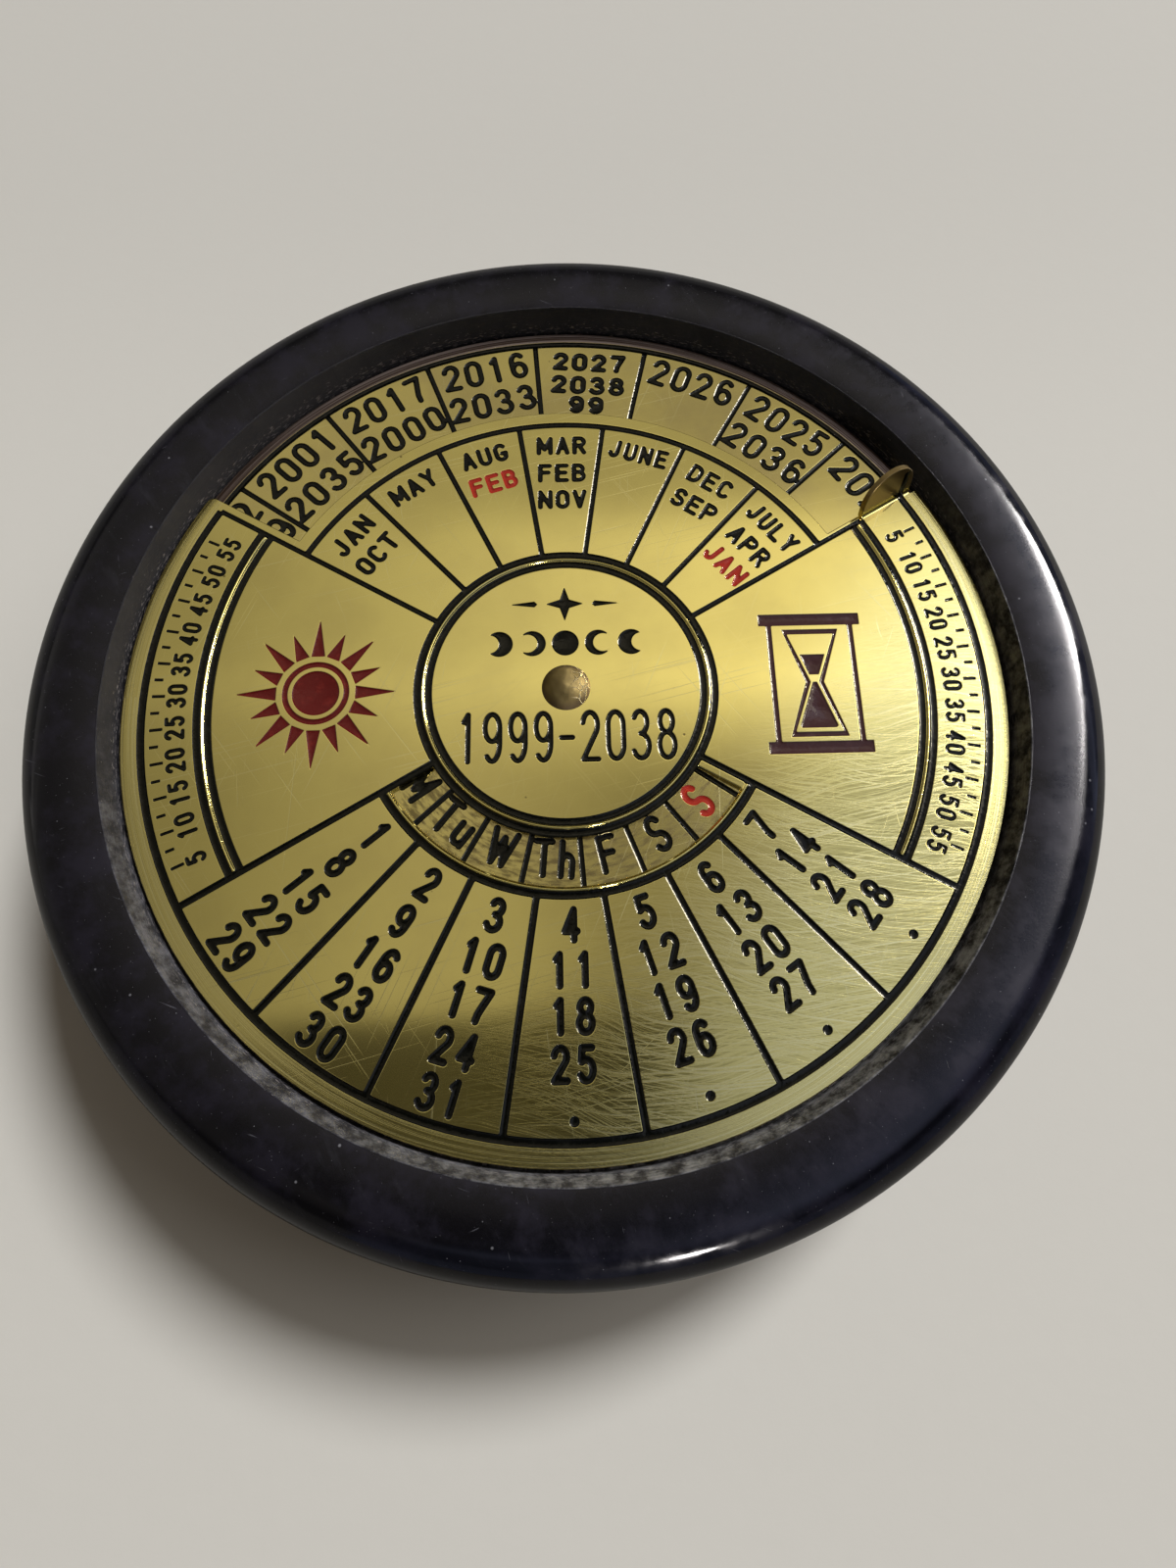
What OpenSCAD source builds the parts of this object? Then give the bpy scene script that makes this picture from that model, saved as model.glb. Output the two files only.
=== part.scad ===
// Perpetual desk calendar: a turned stone base holds a fixed brass year disc, and a brass
// dial plate turns on top of it about a rivet. Every line and figure on the brass is a
// groove filled with enamel. Millimetres; the origin is the centre of the underside, +Z is
// up and +Y points to twelve o'clock. Compass angles run clockwise from +Y.

/* [Stone base] */
// Outside diameter of the stone
base_d = 93; // [90:0.5:110]
// Height of the stone, from the felt to the crown of its rim
stone_h = 19.3; // [12:0.1:40]
// Depth of the recess below the crown of the rim
recess_depth = 3.6; // [2.4:0.1:7]
// Gap between the brass plates and the wall of the recess
recess_gap = 0.4; // [0.2:0.05:1]
// Radius of the gentle dome from the crown of the rim to the recess
rim_dome_r = 12; // [9:0.5:30]
// Radius of the broad rounding from the crown of the rim to the side
outer_round = 4.2; // [3:0.1:5.5]
// Rounding of the rim's inner edge
inner_round = 0.7; // [0.3:0.1:1.2]
// Rounding of the stone's bottom edge
foot_round = 1.5; // [0.5:0.1:3]
// Radius of the blind pocket under the rivet
pocket_r = 5; // [4:0.1:8]
// Depth of the pocket below the floor of the recess
pocket_depth = 2.4; // [1.6:0.1:5]

/* [Felt and adhesive] */
// Thickness of the felt pad
felt_t = 1; // [0.5:0.1:3]
// Distance from the edge of the stone's flat foot to the edge of the felt
felt_inset = 1; // [0:0.1:5]
// Thickness of the adhesive layer under the year disc
glue_t = 0.3; // [0.1:0.05:0.6]
// Distance from the edge of the year disc to the edge of the adhesive
glue_inset = 2; // [0.5:0.1:6]

/* [Brass plates] */
// Diameter of the year disc and of the dial plate
plate_d = 76.2; // [75:0.1:80]
// Thickness of the year disc
disc_t = 0.5; // [0.35:0.05:0.8]
// Thickness of the dial plate
plate_t = 0.5; // [0.35:0.05:0.8]
// Angle by which the year cells lie clockwise of the month columns
disc_turn = 4.8; // [0:0.1:17]

/* [Rivet] */
// Radius of the rivet's shank
shank_r = 1.2; // [0.8:0.05:1.6]
// Radial clearance of the shank in the plates
shank_gap = 0.05; // [0.02:0.01:0.1]
// Radius of the domed head
head_r = 2.1; // [1.9:0.05:2.2]
// Height of the domed head
head_h = 1.1; // [0.5:0.05:1.8]
// Radius of the clenched tail
tail_r = 2; // [1.8:0.05:2.6]
// Thickness of the clenched tail
tail_t = 0.7; // [0.4:0.05:0.9]
// Radius of the washer
washer_r = 3.2; // [2.8:0.1:3.8]
// Thickness of the washer
washer_t = 0.4; // [0.2:0.05:0.5]

/* [Thumb tab] */
// Width of the tab along its bend
tab_w = 5.6; // [4:0.1:6]
// Height of the tab above its bend
tab_h = 3.7; // [3:0.1:7]
// Angle by which the tab is bent up from the plate
tab_bend = 80; // [60:1:90]
// Inside radius of the bend
tab_bend_r = 0.25; // [0.1:0.05:0.6]
// Distance of the tab's outer end from the plate's edge
tab_inset = 0.7; // [0.4:0.1:1.5]

/* [Windows] */
// Radius of the inner edge of the year window
year_window_r = 28.3; // [27.6:0.1:29]
// Brass left between the left column line and the year window, measured from the line's centre
year_window_left = 0.9; // [0.6:0.05:1.5]
// The same at the right end of the year window
year_window_right = 0.5; // [0.4:0.05:1]
// Rounding of the plate's corner at the left end of the year window
window_corner_r = 0.7; // [0.3:0.1:1.2]
// Width of the weekday window, from the hub ring to the ridge below it
day_window_w = 4.05; // [3.2:0.05:4.4]
// Brass left between the right column line and the weekday window, from the line's centre
day_window_right = 0.85; // [0.5:0.05:1.5]
// Brass left between the weekday window and the ridge below it
day_ridge_gap = 0.05; // [0.02:0.01:0.1]

/* [Grooves] */
// Depth of the grooves
groove_depth = 0.25; // [0.1:0.05:0.3]
// How far the enamel stays below the face of the brass
enamel_low = 0.04; // [0:0.01:0.08]
// Width of the ordinary lines
line_w = 0.6; // [0.4:0.05:0.7]
// Width of the month column lines and the year and weekday cell lines
thin_line_w = 0.5; // [0.3:0.05:0.6]
// Width of the line round the rim
rim_line_w = 0.7; // [0.4:0.05:0.9]
// Distance of the rim line's centre from the plate's edge
rim_line_inset = 1.75; // [1.4:0.05:2.2]
// Distance of the circle on the year disc from the disc's edge
disc_line_inset = 1.3; // [1:0.05:1.8]
// Radius of the hub ridge
hub_r = 12.4; // [11.8:0.1:12.8]
// Distance from a ridge to the centre of the groove beside it
ridge_pitch = 0.52; // [0.5:0.01:0.56]
// Radius of a ridge's round section
ridge_r = 0.18; // [0.1:0.01:0.2]
// Distance of the month arc from the year window
month_arc_inset = 1.4; // [1:0.05:2]
// Distance of the side panels' double arc from the rim line
panel_arc_inset = 5.15; // [4.8:0.05:5.6]
// Radius of the dots that fill the last date row
dot_r = 0.4; // [0.25:0.05:0.6]
// Distance of those dots from the rim line
dot_inset = 1.5; // [1.2:0.1:3]

/* [Motifs] */
// Distance of the two side motifs from the centre
motif_x = 21.6; // [20.5:0.1:22]
// Radius of the sun's disc
sun_r = 2.9; // [2.2:0.1:3.2]
// Radius to the tips of the sun's long rays
sun_ray_r = 7; // [5:0.1:7.6]
// Height of the hourglass
glass_h = 13; // [10:0.1:14]
// Width of the hourglass's bars
glass_w = 9; // [7:0.1:10]
// Radius of the moons in the row above the rivet
moon_r = 1.2; // [0.8:0.05:1.3]
// Distance between moons
moon_pitch = 2.9; // [2.7:0.05:3]
// Height of the moons' centres above the rivet's axis
moon_y = 4.2; // [3.9:0.05:4.6]
// Height of the star's centre above the rivet's axis
star_y = 8; // [7.6:0.1:8.4]
// Radius to the tips of the star
star_r = 1.7; // [1.2:0.05:1.9]

/* [Band scales] */
// Angle between the marks of the two outer bands
tick_step = 2.5; // [2:0.5:5]
// Number of marks on each side of a band's middle
tick_side = 10; // [4:1:10]
// Length of the short marks
tick_l = 0.8; // [0.4:0.05:1]
// Extra length of every second mark
tick_more = 0.35; // [0:0.05:0.5]
// Width of the marks
tick_w = 0.28; // [0.2:0.02:0.4]
// Distance from the rim line to the marks
tick_inset = 0.35; // [0.2:0.05:0.6]

/* [Hidden] */
$fn = 96;

// Cuts run this far past the faces that they pass through
past = 0.5;

// The calendar's plan: three repeats of seven cells share the circle
weekdays = 7;
repeats = 3;
cells = repeats * weekdays;
cell_angle = 360 / cells;
block_half = cell_angle * weekdays / 2;      // half the angle of a block of seven cells
panel_half = (180 - 2 * block_half) / 2;     // half the angle of a side panel
months_mid = 0;                              // compass angle of the month block's middle
dates_mid = 180;                             // compass angle of the date block's middle
panel_mid = 90;                              // compass angle of the right panel's middle
dotted_columns = 4;                          // date columns with no fifth date

// Heights
stone_top = felt_t + stone_h;
floor_z = stone_top - recess_depth;
disc_z = floor_z + glue_t;
plate_z = disc_z + disc_t;
face_z = plate_z + plate_t;
groove_z = face_z - groove_depth;
disc_groove_z = plate_z - groove_depth;
enamel_h = groove_depth - enamel_low;

// Radii
plate_r = plate_d / 2;
recess_r = plate_r + recess_gap;
bore_r = shank_r + shank_gap;
rim_line_r = plate_r - rim_line_inset;
disc_line_r = plate_r - disc_line_inset;
hub_inner_r = hub_r - ridge_pitch;
hub_outer_r = hub_r + ridge_pitch;
day_window_in = hub_outer_r + line_w / 2;
day_window_out = day_window_in + day_window_w;
day_ridge_r = day_window_out + ridge_r + day_ridge_gap;
day_line_r = day_ridge_r + ridge_pitch;
month_arc_r = year_window_r - month_arc_inset;
panel_ridge_r = rim_line_r - panel_arc_inset;
panel_inner_r = panel_ridge_r - ridge_pitch;
panel_outer_r = panel_ridge_r + ridge_pitch;
tab_out = plate_r - tab_inset;
tab_in = tab_out - tab_w;
tab_cap_r = tab_w / 2;                       // radius of the tab's round end
tab_line_l = tab_h - tab_cap_r
    + sqrt(pow(tab_cap_r, 2) - pow(rim_line_r + rim_line_w / 2 - tab_in - tab_cap_r, 2));
dot_at = rim_line_r - dot_inset;

// ---- helpers ----------------------------------------------------------------------

// Turns its children, drawn about +Y, to a compass angle.
module at_angle(a) {
    rotate([0, 0, -a]) children();
}

// A flat ring about Z.
module ring(r, w, z, h) {
    translate([0, 0, z]) difference() {
        cylinder(r = r + w / 2, h = h);
        translate([0, 0, -past]) cylinder(r = r - w / 2, h = h + 2 * past);
    }
}

// Part of such a ring, from one compass angle clockwise to another.
module arc(r, w, from, to, z, h) {
    rotate([0, 0, 90 - to]) rotate_extrude(angle = to - from)
        translate([r - w / 2, z]) square([w, h]);
}

// A straight radial line.
module spoke(a, from, to, w, z, h) {
    at_angle(a) translate([-w / 2, from, z]) cube([w, to - from, h]);
}

// A round-topped ridge along a ring, half of it above the brass.
module ridge_arc(r, from, to) {
    rotate([0, 0, 90 - to]) rotate_extrude(angle = to - from)
        translate([r, face_z]) circle(r = ridge_r, $fn = 24);
}

module ridge_ring(r) {
    rotate_extrude() translate([r, face_z]) circle(r = ridge_r, $fn = 24);
}

// The angle that a width covers at a radius.
function wide(w, r) = 2 * asin(w / 2 / r);

// ---- line work, drawn once for the grooves and once for the enamel -------------------

module rim_line(z, h) {
    arc(rim_line_r, rim_line_w, block_half, 360 - block_half, z, h);
}

module date_columns(z, h) {
    difference() {
        union() {
            for (i = [1 : weekdays - 1])
                spoke(dates_mid - block_half + i * cell_angle, day_line_r, rim_line_r, line_w, z, h);
            for (side = [-1, 1])
                spoke(dates_mid + side * block_half, hub_outer_r, rim_line_r, line_w, z, h);
        }
        rim_line(z - past, h + 2 * past);
        weekday_arc(z - past, h + 2 * past);
        hub_rings(z - past, h + 2 * past);
    }
}

module weekday_arc(z, h) {
    arc(day_line_r, line_w, dates_mid - block_half, dates_mid + block_half, z, h);
}

module month_arc(z, h) {
    arc(month_arc_r, line_w, months_mid - block_half, months_mid + block_half, z, h);
}

module month_columns(z, h) {
    difference() {
        union() {
            for (i = [1 : weekdays - 1])
                spoke(months_mid - block_half + i * cell_angle, hub_outer_r, month_arc_r,
                    thin_line_w, z, h);
            spoke(months_mid - block_half, hub_outer_r, rim_line_r, thin_line_w, z, h);
            spoke(months_mid + block_half, hub_outer_r, panel_outer_r, thin_line_w, z, h);
        }
        rim_line(z - past, h + 2 * past);
        month_arc(z - past, h + 2 * past);
        hub_rings(z - past, h + 2 * past);
    }
}

module hub_rings(z, h) {
    ring(hub_inner_r, line_w, z, h);
    ring(hub_outer_r, line_w, z, h);
}

// The double arc of the side panel whose middle is at compass angle mid.
module panel_arcs(mid, z, h) {
    difference() {
        for (r = [panel_inner_r, panel_outer_r])
            arc(r, line_w, mid - panel_half, mid + panel_half, z, h);
        month_columns(z - past, h + 2 * past);
        date_columns(z - past, h + 2 * past);
    }
}

module date_dots(z, h) {
    for (i = [0 : dotted_columns - 1])
        at_angle(dates_mid - block_half + (i + 0.5) * cell_angle)
            translate([0, dot_at, z]) cylinder(r = dot_r, h = h, $fn = 32);
}

module band_scale(z, h) {
    for (mid = [panel_mid, panel_mid + 180], i = [-tick_side : tick_side]) {
        outer = rim_line_r - rim_line_w / 2 - tick_inset;
        long = i % 2 == 0 ? tick_l + tick_more : tick_l;
        spoke(mid + i * tick_step, outer - long, outer, tick_w, z, h);
    }
}

// ---- motifs ---------------------------------------------------------------------------

ray_count = 16;          // rays of the sun, long and short by turns
ray_root = 0.5;          // gap between the sun's ring and the foot of its rays
ray_half = 0.62;         // half the width of a ray's foot
short_ray = 0.72;        // length of a short ray's tip radius as a share of a long one's
sun_ring_w = 0.5;        // width of the sun's ring
sun_core_gap = 0.35;     // gap between the sun's ring and its core

module sun_motif(z, h) {
    translate([-motif_x, 0, z]) {
        difference() {
            cylinder(r = sun_r, h = h);
            translate([0, 0, -past]) cylinder(r = sun_r - sun_ring_w, h = h + 2 * past);
        }
        cylinder(r = sun_r - sun_ring_w - sun_core_gap, h = h);
        for (i = [0 : ray_count - 1]) {
            root = sun_r + ray_root;
            tip = i % 2 == 0 ? sun_ray_r : root + (sun_ray_r - root) * short_ray;
            rotate([0, 0, i * 360 / ray_count]) linear_extrude(height = h)
                polygon([[root, -ray_half], [tip, 0], [root, ray_half]]);
        }
    }
}

bar_t = 1.1;             // thickness of the hourglass's bars
post_w = 0.5;            // width of its two posts
post_inset = 0.9;        // distance of a post from the end of the bars
neck_half = 0.35;        // half the width of the neck
glass_gap = 0.4;         // gap between the bars and the glass
glass_wall = 0.45;       // thickness of the glass's outline
sand_gap = 0.35;         // gap between the glass and the sand
bulb_w = 5;              // width of a bulb at its wide end
sand_top = 0.45;         // how much of the upper bulb the sand fills
sand_pile = 0.35;        // how much of the lower bulb the sand fills
pile_slope = 45;         // slope of the sand in the lower bulb

// Half of the glass's plan as a trapezium: wide end up, neck at the origin.
function bulb(w, neck, l) = [[-w / 2, l], [-neck, 0], [neck, 0], [w / 2, l]];

module hourglass_motif(z, h) {
    bulb_l = glass_h / 2 - bar_t - glass_gap;
    inner_w = bulb_w - 2 * glass_wall;
    sand_w = inner_w - 2 * sand_gap;
    sand_l = bulb_l - glass_wall - sand_gap;
    translate([motif_x, 0, z]) {
        for (side = [-1, 1]) {
            translate([-glass_w / 2, side * (glass_h - bar_t) / 2 - bar_t / 2, 0])
                cube([glass_w, bar_t, h]);
            translate([side * (glass_w / 2 - post_inset) - post_w / 2, -glass_h / 2 + bar_t, 0])
                cube([post_w, glass_h - 2 * bar_t, h]);
        }
        linear_extrude(height = h) difference() {
            for (side = [0, 1]) mirror([0, side]) polygon(bulb(bulb_w, neck_half + glass_wall, bulb_l));
            for (side = [0, 1]) mirror([0, side])
                polygon(bulb(inner_w, neck_half, bulb_l - glass_wall));
        }
        linear_extrude(height = h) {
            intersection() {
                polygon(bulb(sand_w, neck_half / 2, sand_l));
                translate([-sand_w, neck_half * 2]) square([2 * sand_w, sand_l * sand_top]);
            }
            intersection() {
                mirror([0, 1]) polygon(bulb(sand_w, neck_half / 2, sand_l));
                translate([0, -sand_l * (1 + sand_pile)]) rotate([0, 0, pile_slope])
                    square([sand_l, sand_l]);
            }
        }
    }
}

moon_share = 0.72;       // radius of the shadow that shapes a crescent, as a share of the moon's
phases = [0.75, 0.35, 0, -0.35, -0.75];   // shift of that shadow, in moon radii; 0 is full

module moon_row(z, h) {
    for (i = [0 : len(phases) - 1])
        translate([(i - (len(phases) - 1) / 2) * moon_pitch, moon_y, z]) difference() {
            cylinder(r = moon_r, h = h, $fn = 48);
            if (phases[i] != 0)
                translate([-phases[i] * moon_r, 0, -past])
                    cylinder(r = moon_r * moon_share, h = h + 2 * past, $fn = 48);
        }
}

star_points = 4;         // tips of the star
star_waist_r = 0.6;      // radius of the star between its tips
bar_l = 2.6;             // length of the bars beside the star
bar_half = 0.28;         // half their width where they are thickest
bar_from = 2.4;          // distance from the star's centre to the start of a bar

module hub_star(z, h) {
    translate([0, star_y, z]) linear_extrude(height = h) {
        polygon([for (i = [0 : 2 * star_points - 1])
            let (r = i % 2 == 0 ? star_r : star_waist_r, a = i * 180 / star_points)
            [r * cos(a), r * sin(a)]]);
        for (side = [0, 1]) mirror([side, 0])
            polygon([[bar_from, 0], [bar_from + bar_half, bar_half],
                [bar_from + bar_l, 0], [bar_from + bar_half, -bar_half]]);
    }
}

// ---- thumb tab -------------------------------------------------------------------------

// Turns a child drawn in the tab's frame, in which X runs outwards along the bend, Y towards
// the window and Z up from the plate's underside, to the right end of the year window.
module at_tab() {
    translate([0, 0, plate_z]) rotate([0, 0, 90 - block_half]) children();
}

// Places a child drawn on the tab's flat sheet, X along the bend and Y up the sheet.
module on_tab_sheet() {
    lift = tab_bend_r + plate_t;
    translate([tab_in, 0, lift]) rotate([tab_bend, 0, 0]) translate([0, 0, -lift]) children();
}

module thumb_tab() {
    at_tab() {
        translate([tab_in, 0, tab_bend_r + plate_t]) rotate([90, 0, 90])
            rotate([0, 0, -90]) rotate_extrude(angle = tab_bend)
                translate([tab_bend_r, 0]) square([plate_t, tab_w]);
        on_tab_sheet() {
            cube([tab_w, tab_h - tab_cap_r, plate_t]);
            translate([tab_cap_r, tab_h - tab_cap_r, 0]) intersection() {
                cylinder(r = tab_cap_r, h = plate_t);
                translate([-tab_cap_r, 0, 0]) cube([tab_w, tab_cap_r, plate_t]);
            }
        }
    }
}

// The rim line where it runs on up the face of the tab.
module tab_line(depth_from, h) {
    at_tab() on_tab_sheet()
        translate([rim_line_r - tab_in - rim_line_w / 2, 0, plate_t - depth_from])
            cube([rim_line_w, tab_line_l, h]);
}

// ---- windows ---------------------------------------------------------------------------

module year_window() {
    z = plate_z - past;
    h = plate_t + 2 * past;
    reach = plate_r + past;
    difference() {
        arc((year_window_r + reach) / 2, reach - year_window_r, months_mid - block_half,
            months_mid + block_half, z, h);
        at_angle(months_mid - block_half) translate([-past, 0, z - past])
            cube([year_window_left + past, reach + past, h + 2 * past]);
        at_angle(months_mid + block_half) translate([-year_window_right, 0, z - past])
            cube([year_window_right + past, tab_in, h + 2 * past]);
    }
    at_angle(months_mid - block_half) window_corner(z, h);
}

// Rounds the plate's corner beside the year window's left end.
module window_corner(z, h) {
    x = year_window_left - window_corner_r;
    y = sqrt(pow(plate_r - window_corner_r, 2) - pow(x, 2));
    translate([x, y, z]) difference() {
        cube([window_corner_r + past, window_corner_r + past, h]);
        translate([0, 0, -past]) cylinder(r = window_corner_r, h = h + 2 * past, $fn = 32);
    }
}

module weekday_window() {
    z = plate_z - past;
    h = plate_t + 2 * past;
    difference() {
        arc((day_window_in + day_window_out) / 2, day_window_w, dates_mid - block_half,
            dates_mid + block_half, z, h);
        at_angle(dates_mid - block_half) translate([-past, 0, z - past])
            cube([day_window_right + past, day_window_out + past, h + 2 * past]);
        at_angle(dates_mid + block_half) translate([-line_w / 2, 0, z - past])
            cube([line_w / 2 + past, day_window_out + past, h + 2 * past]);
    }
}

// ---- pieces ----------------------------------------------------------------------------

// The stone's section: a rounded foot, a straight side, a broad rounding up to the crown of
// the rim, a gentle dome from the crown inwards and a small rounding into the recess.
module stone_section() {
    base_r = base_d / 2;
    crown_x = base_r - outer_round;
    shoulder_z = stone_top - outer_round;
    dome_z = stone_top - rim_dome_r;
    inner_x = recess_r + inner_round;
    inner_z = dome_z + sqrt(pow(rim_dome_r - inner_round, 2) - pow(crown_x - inner_x, 2));
    dome_in = crown_x - (crown_x - inner_x) * rim_dome_r / (rim_dome_r - inner_round);
    difference() {
        union() {
            translate([0, felt_t]) square([base_r, shoulder_z - felt_t]);
            translate([0, felt_t]) square([crown_x, floor_z - felt_t]);
            translate([crown_x, shoulder_z]) intersection() {
                circle(r = outer_round);
                square(outer_round);
            }
        }
        translate([base_r - foot_round, felt_t]) difference() {
            translate([0, -past]) square([foot_round + past, foot_round + past]);
            translate([0, foot_round]) circle(r = foot_round);
        }
        translate([-past, floor_z]) square([recess_r + past, stone_h]);
        translate([-past, floor_z - pocket_depth]) square([pocket_r + past, stone_h]);
    }
    translate([recess_r, floor_z]) square([crown_x - recess_r, inner_z - floor_z]);
    translate([inner_x, inner_z]) circle(r = inner_round);
    intersection() {
        translate([crown_x, dome_z]) circle(r = rim_dome_r, $fn = 192);
        translate([dome_in, floor_z]) square([crown_x - dome_in, stone_top - floor_z]);
    }
}

module stone_base() {
    color([0.05, 0.05, 0.07]) rotate_extrude() stone_section();
}

module felt_pad() {
    color([0.04, 0.09, 0.06]) cylinder(r = base_d / 2 - foot_round - felt_inset, h = felt_t);
}

module adhesive_layer() {
    color([0.75, 0.72, 0.6])
        ring((plate_r - glue_inset + pocket_r) / 2, plate_r - glue_inset - pocket_r, floor_z, glue_t);
}

module year_disc() {
    color([0.78, 0.66, 0.34]) difference() {
        translate([0, 0, disc_z]) cylinder(r = plate_r, h = disc_t);
        translate([0, 0, disc_z - past]) cylinder(r = bore_r, h = disc_t + 2 * past);
        disc_circle(disc_groove_z, groove_depth + past);
        year_cells(disc_groove_z, groove_depth + past);
        weekday_cells(disc_groove_z, groove_depth + past);
    }
}

module disc_circle(z, h) {
    ring(disc_line_r, line_w, z, h);
}

module year_cells(z, h) {
    difference() {
        for (i = [0 : cells - 1])
            spoke(months_mid + disc_turn + (i + 0.5) * cell_angle, month_arc_r, disc_line_r,
                thin_line_w, z, h);
        disc_circle(z - past, h + 2 * past);
    }
}

module weekday_cells(z, h) {
    for (i = [0 : cells - 1])
        spoke(dates_mid + disc_turn + (i + 0.5) * cell_angle, hub_r, day_ridge_r,
            thin_line_w, z, h);
}

module dial_plate() {
    color([0.84, 0.72, 0.38]) difference() {
        union() {
            translate([0, 0, plate_z]) cylinder(r = plate_r, h = plate_t);
            ridge_ring(hub_r);
            ridge_arc(day_ridge_r, dates_mid - block_half + wide(line_w, day_ridge_r),
                dates_mid + block_half - wide(line_w, day_ridge_r));
            for (mid = [panel_mid, panel_mid + 180])
                ridge_arc(panel_ridge_r, mid - panel_half + wide(line_w, panel_ridge_r),
                    mid + panel_half - wide(line_w, panel_ridge_r));
        }
        translate([0, 0, plate_z - past]) cylinder(r = bore_r, h = plate_t + 2 * past);
        year_window();
        weekday_window();
        dial_grooves(groove_z, groove_depth + past);
    }
    color([0.84, 0.72, 0.38]) difference() {
        thumb_tab();
        tab_line(groove_depth, groove_depth + past);
    }
}

module dial_grooves(z, h) {
    rim_line(z, h);
    date_columns(z, h);
    weekday_arc(z, h);
    month_arc(z, h);
    month_columns(z, h);
    hub_rings(z, h);
    panel_arcs(panel_mid, z, h);
    panel_arcs(panel_mid + 180, z, h);
    date_dots(z, h);
    band_scale(z, h);
    moon_row(z, h);
    hub_star(z, h);
    sun_motif(z, h);
    hourglass_motif(z, h);
}

module rivet() {
    dome_r = (pow(head_r, 2) + pow(head_h, 2)) / (2 * head_h);
    shank_low = disc_z - washer_t;
    color([0.6, 0.5, 0.28]) {
        intersection() {
            translate([0, 0, face_z + head_h - dome_r]) sphere(r = dome_r);
            translate([0, 0, face_z]) cylinder(r = head_r, h = head_h + past);
        }
        translate([0, 0, shank_low]) cylinder(r = shank_r, h = face_z - shank_low);
        translate([0, 0, shank_low - tail_t]) cylinder(r = tail_r, h = tail_t);
    }
}

module tail_washer() {
    color([0.7, 0.7, 0.72])
        ring((washer_r + bore_r) / 2, washer_r - bore_r, disc_z - washer_t, washer_t);
}

// ---- enamel ----------------------------------------------------------------------------

black = [0.03, 0.03, 0.03];
dark_red = [0.4, 0.06, 0.06];
dark_brown = [0.16, 0.07, 0.08];

module disc_circle_enamel() { color(black) disc_circle(disc_groove_z, enamel_h); }
module year_cell_enamel() { color(black) year_cells(disc_groove_z, enamel_h); }
module weekday_cell_enamel() { color(black) weekday_cells(disc_groove_z, enamel_h); }
module rim_line_enamel() { color(black) rim_line(groove_z, enamel_h); }
module date_column_enamel() { color(black) date_columns(groove_z, enamel_h); }
module weekday_arc_enamel() { color(black) weekday_arc(groove_z, enamel_h); }
module month_arc_enamel() { color(black) month_arc(groove_z, enamel_h); }
module month_column_enamel() { color(black) month_columns(groove_z, enamel_h); }
module hub_ring_enamel() { color(black) hub_rings(groove_z, enamel_h); }
module left_panel_enamel() { color(black) panel_arcs(panel_mid + 180, groove_z, enamel_h); }
module right_panel_enamel() { color(black) panel_arcs(panel_mid, groove_z, enamel_h); }
module date_dot_enamel() { color(black) date_dots(groove_z, enamel_h); }
module tab_line_enamel() { color(black) tab_line(groove_depth, enamel_h); }
module band_scale_enamel() { color(black) band_scale(groove_z, enamel_h); }
module moon_row_enamel() { color(black) moon_row(groove_z, enamel_h); }
module hub_star_enamel() { color(black) hub_star(groove_z, enamel_h); }
module sun_motif_enamel() { color(dark_red) sun_motif(groove_z, enamel_h); }
module hourglass_motif_enamel() { color(dark_brown) hourglass_motif(groove_z, enamel_h); }

// ---- assembly --------------------------------------------------------------------------

stone_base();
felt_pad();
adhesive_layer();
year_disc();
dial_plate();
rivet();
tail_washer();
disc_circle_enamel();
year_cell_enamel();
weekday_cell_enamel();
rim_line_enamel();
date_column_enamel();
weekday_arc_enamel();
month_arc_enamel();
month_column_enamel();
hub_ring_enamel();
left_panel_enamel();
right_panel_enamel();
date_dot_enamel();
tab_line_enamel();
band_scale_enamel();
moon_row_enamel();
hub_star_enamel();
sun_motif_enamel();
hourglass_motif_enamel();
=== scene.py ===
"""Looks of a perpetual desk calendar: engraved and enamelled brass plates in a turned black
stone base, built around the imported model. Drafting is done in millimetres, in the plane of a
plate, and every mesh is made in metres."""

import math

import bpy
import numpy as np
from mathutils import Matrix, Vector, noise
from mathutils.geometry import delaunay_2d_cdt


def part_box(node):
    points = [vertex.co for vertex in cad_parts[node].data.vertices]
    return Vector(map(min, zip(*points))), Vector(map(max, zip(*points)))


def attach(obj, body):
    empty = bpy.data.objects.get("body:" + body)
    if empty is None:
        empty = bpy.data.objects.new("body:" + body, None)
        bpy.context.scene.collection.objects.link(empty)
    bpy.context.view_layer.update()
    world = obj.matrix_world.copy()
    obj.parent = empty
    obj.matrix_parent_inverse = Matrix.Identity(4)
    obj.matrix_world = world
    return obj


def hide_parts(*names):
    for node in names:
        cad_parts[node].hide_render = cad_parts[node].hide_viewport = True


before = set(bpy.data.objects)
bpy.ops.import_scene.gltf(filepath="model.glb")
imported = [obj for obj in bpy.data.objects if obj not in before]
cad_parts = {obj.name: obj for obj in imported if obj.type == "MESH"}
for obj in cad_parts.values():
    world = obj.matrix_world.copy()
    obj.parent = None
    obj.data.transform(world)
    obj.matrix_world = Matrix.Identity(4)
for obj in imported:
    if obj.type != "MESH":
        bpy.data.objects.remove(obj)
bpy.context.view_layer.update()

bl_info = {
    "name": "Perpetual Desk Calendar",
    "version": (1, 0, 0),
    "blender": (4, 5, 0),
    "location": "View3D > Sidebar > Calendar",
    "description": "Builds an engraved brass perpetual calendar in a turned stone base",
    "category": "Object",
}

MM = 0.001
WEEKDAYS = 7
CELLS = 21
CELL_ANGLE = 360 / CELLS


# ---- sizes that the frame gives ----

def top_of(node):
    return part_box(node)[1].z / MM


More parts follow.
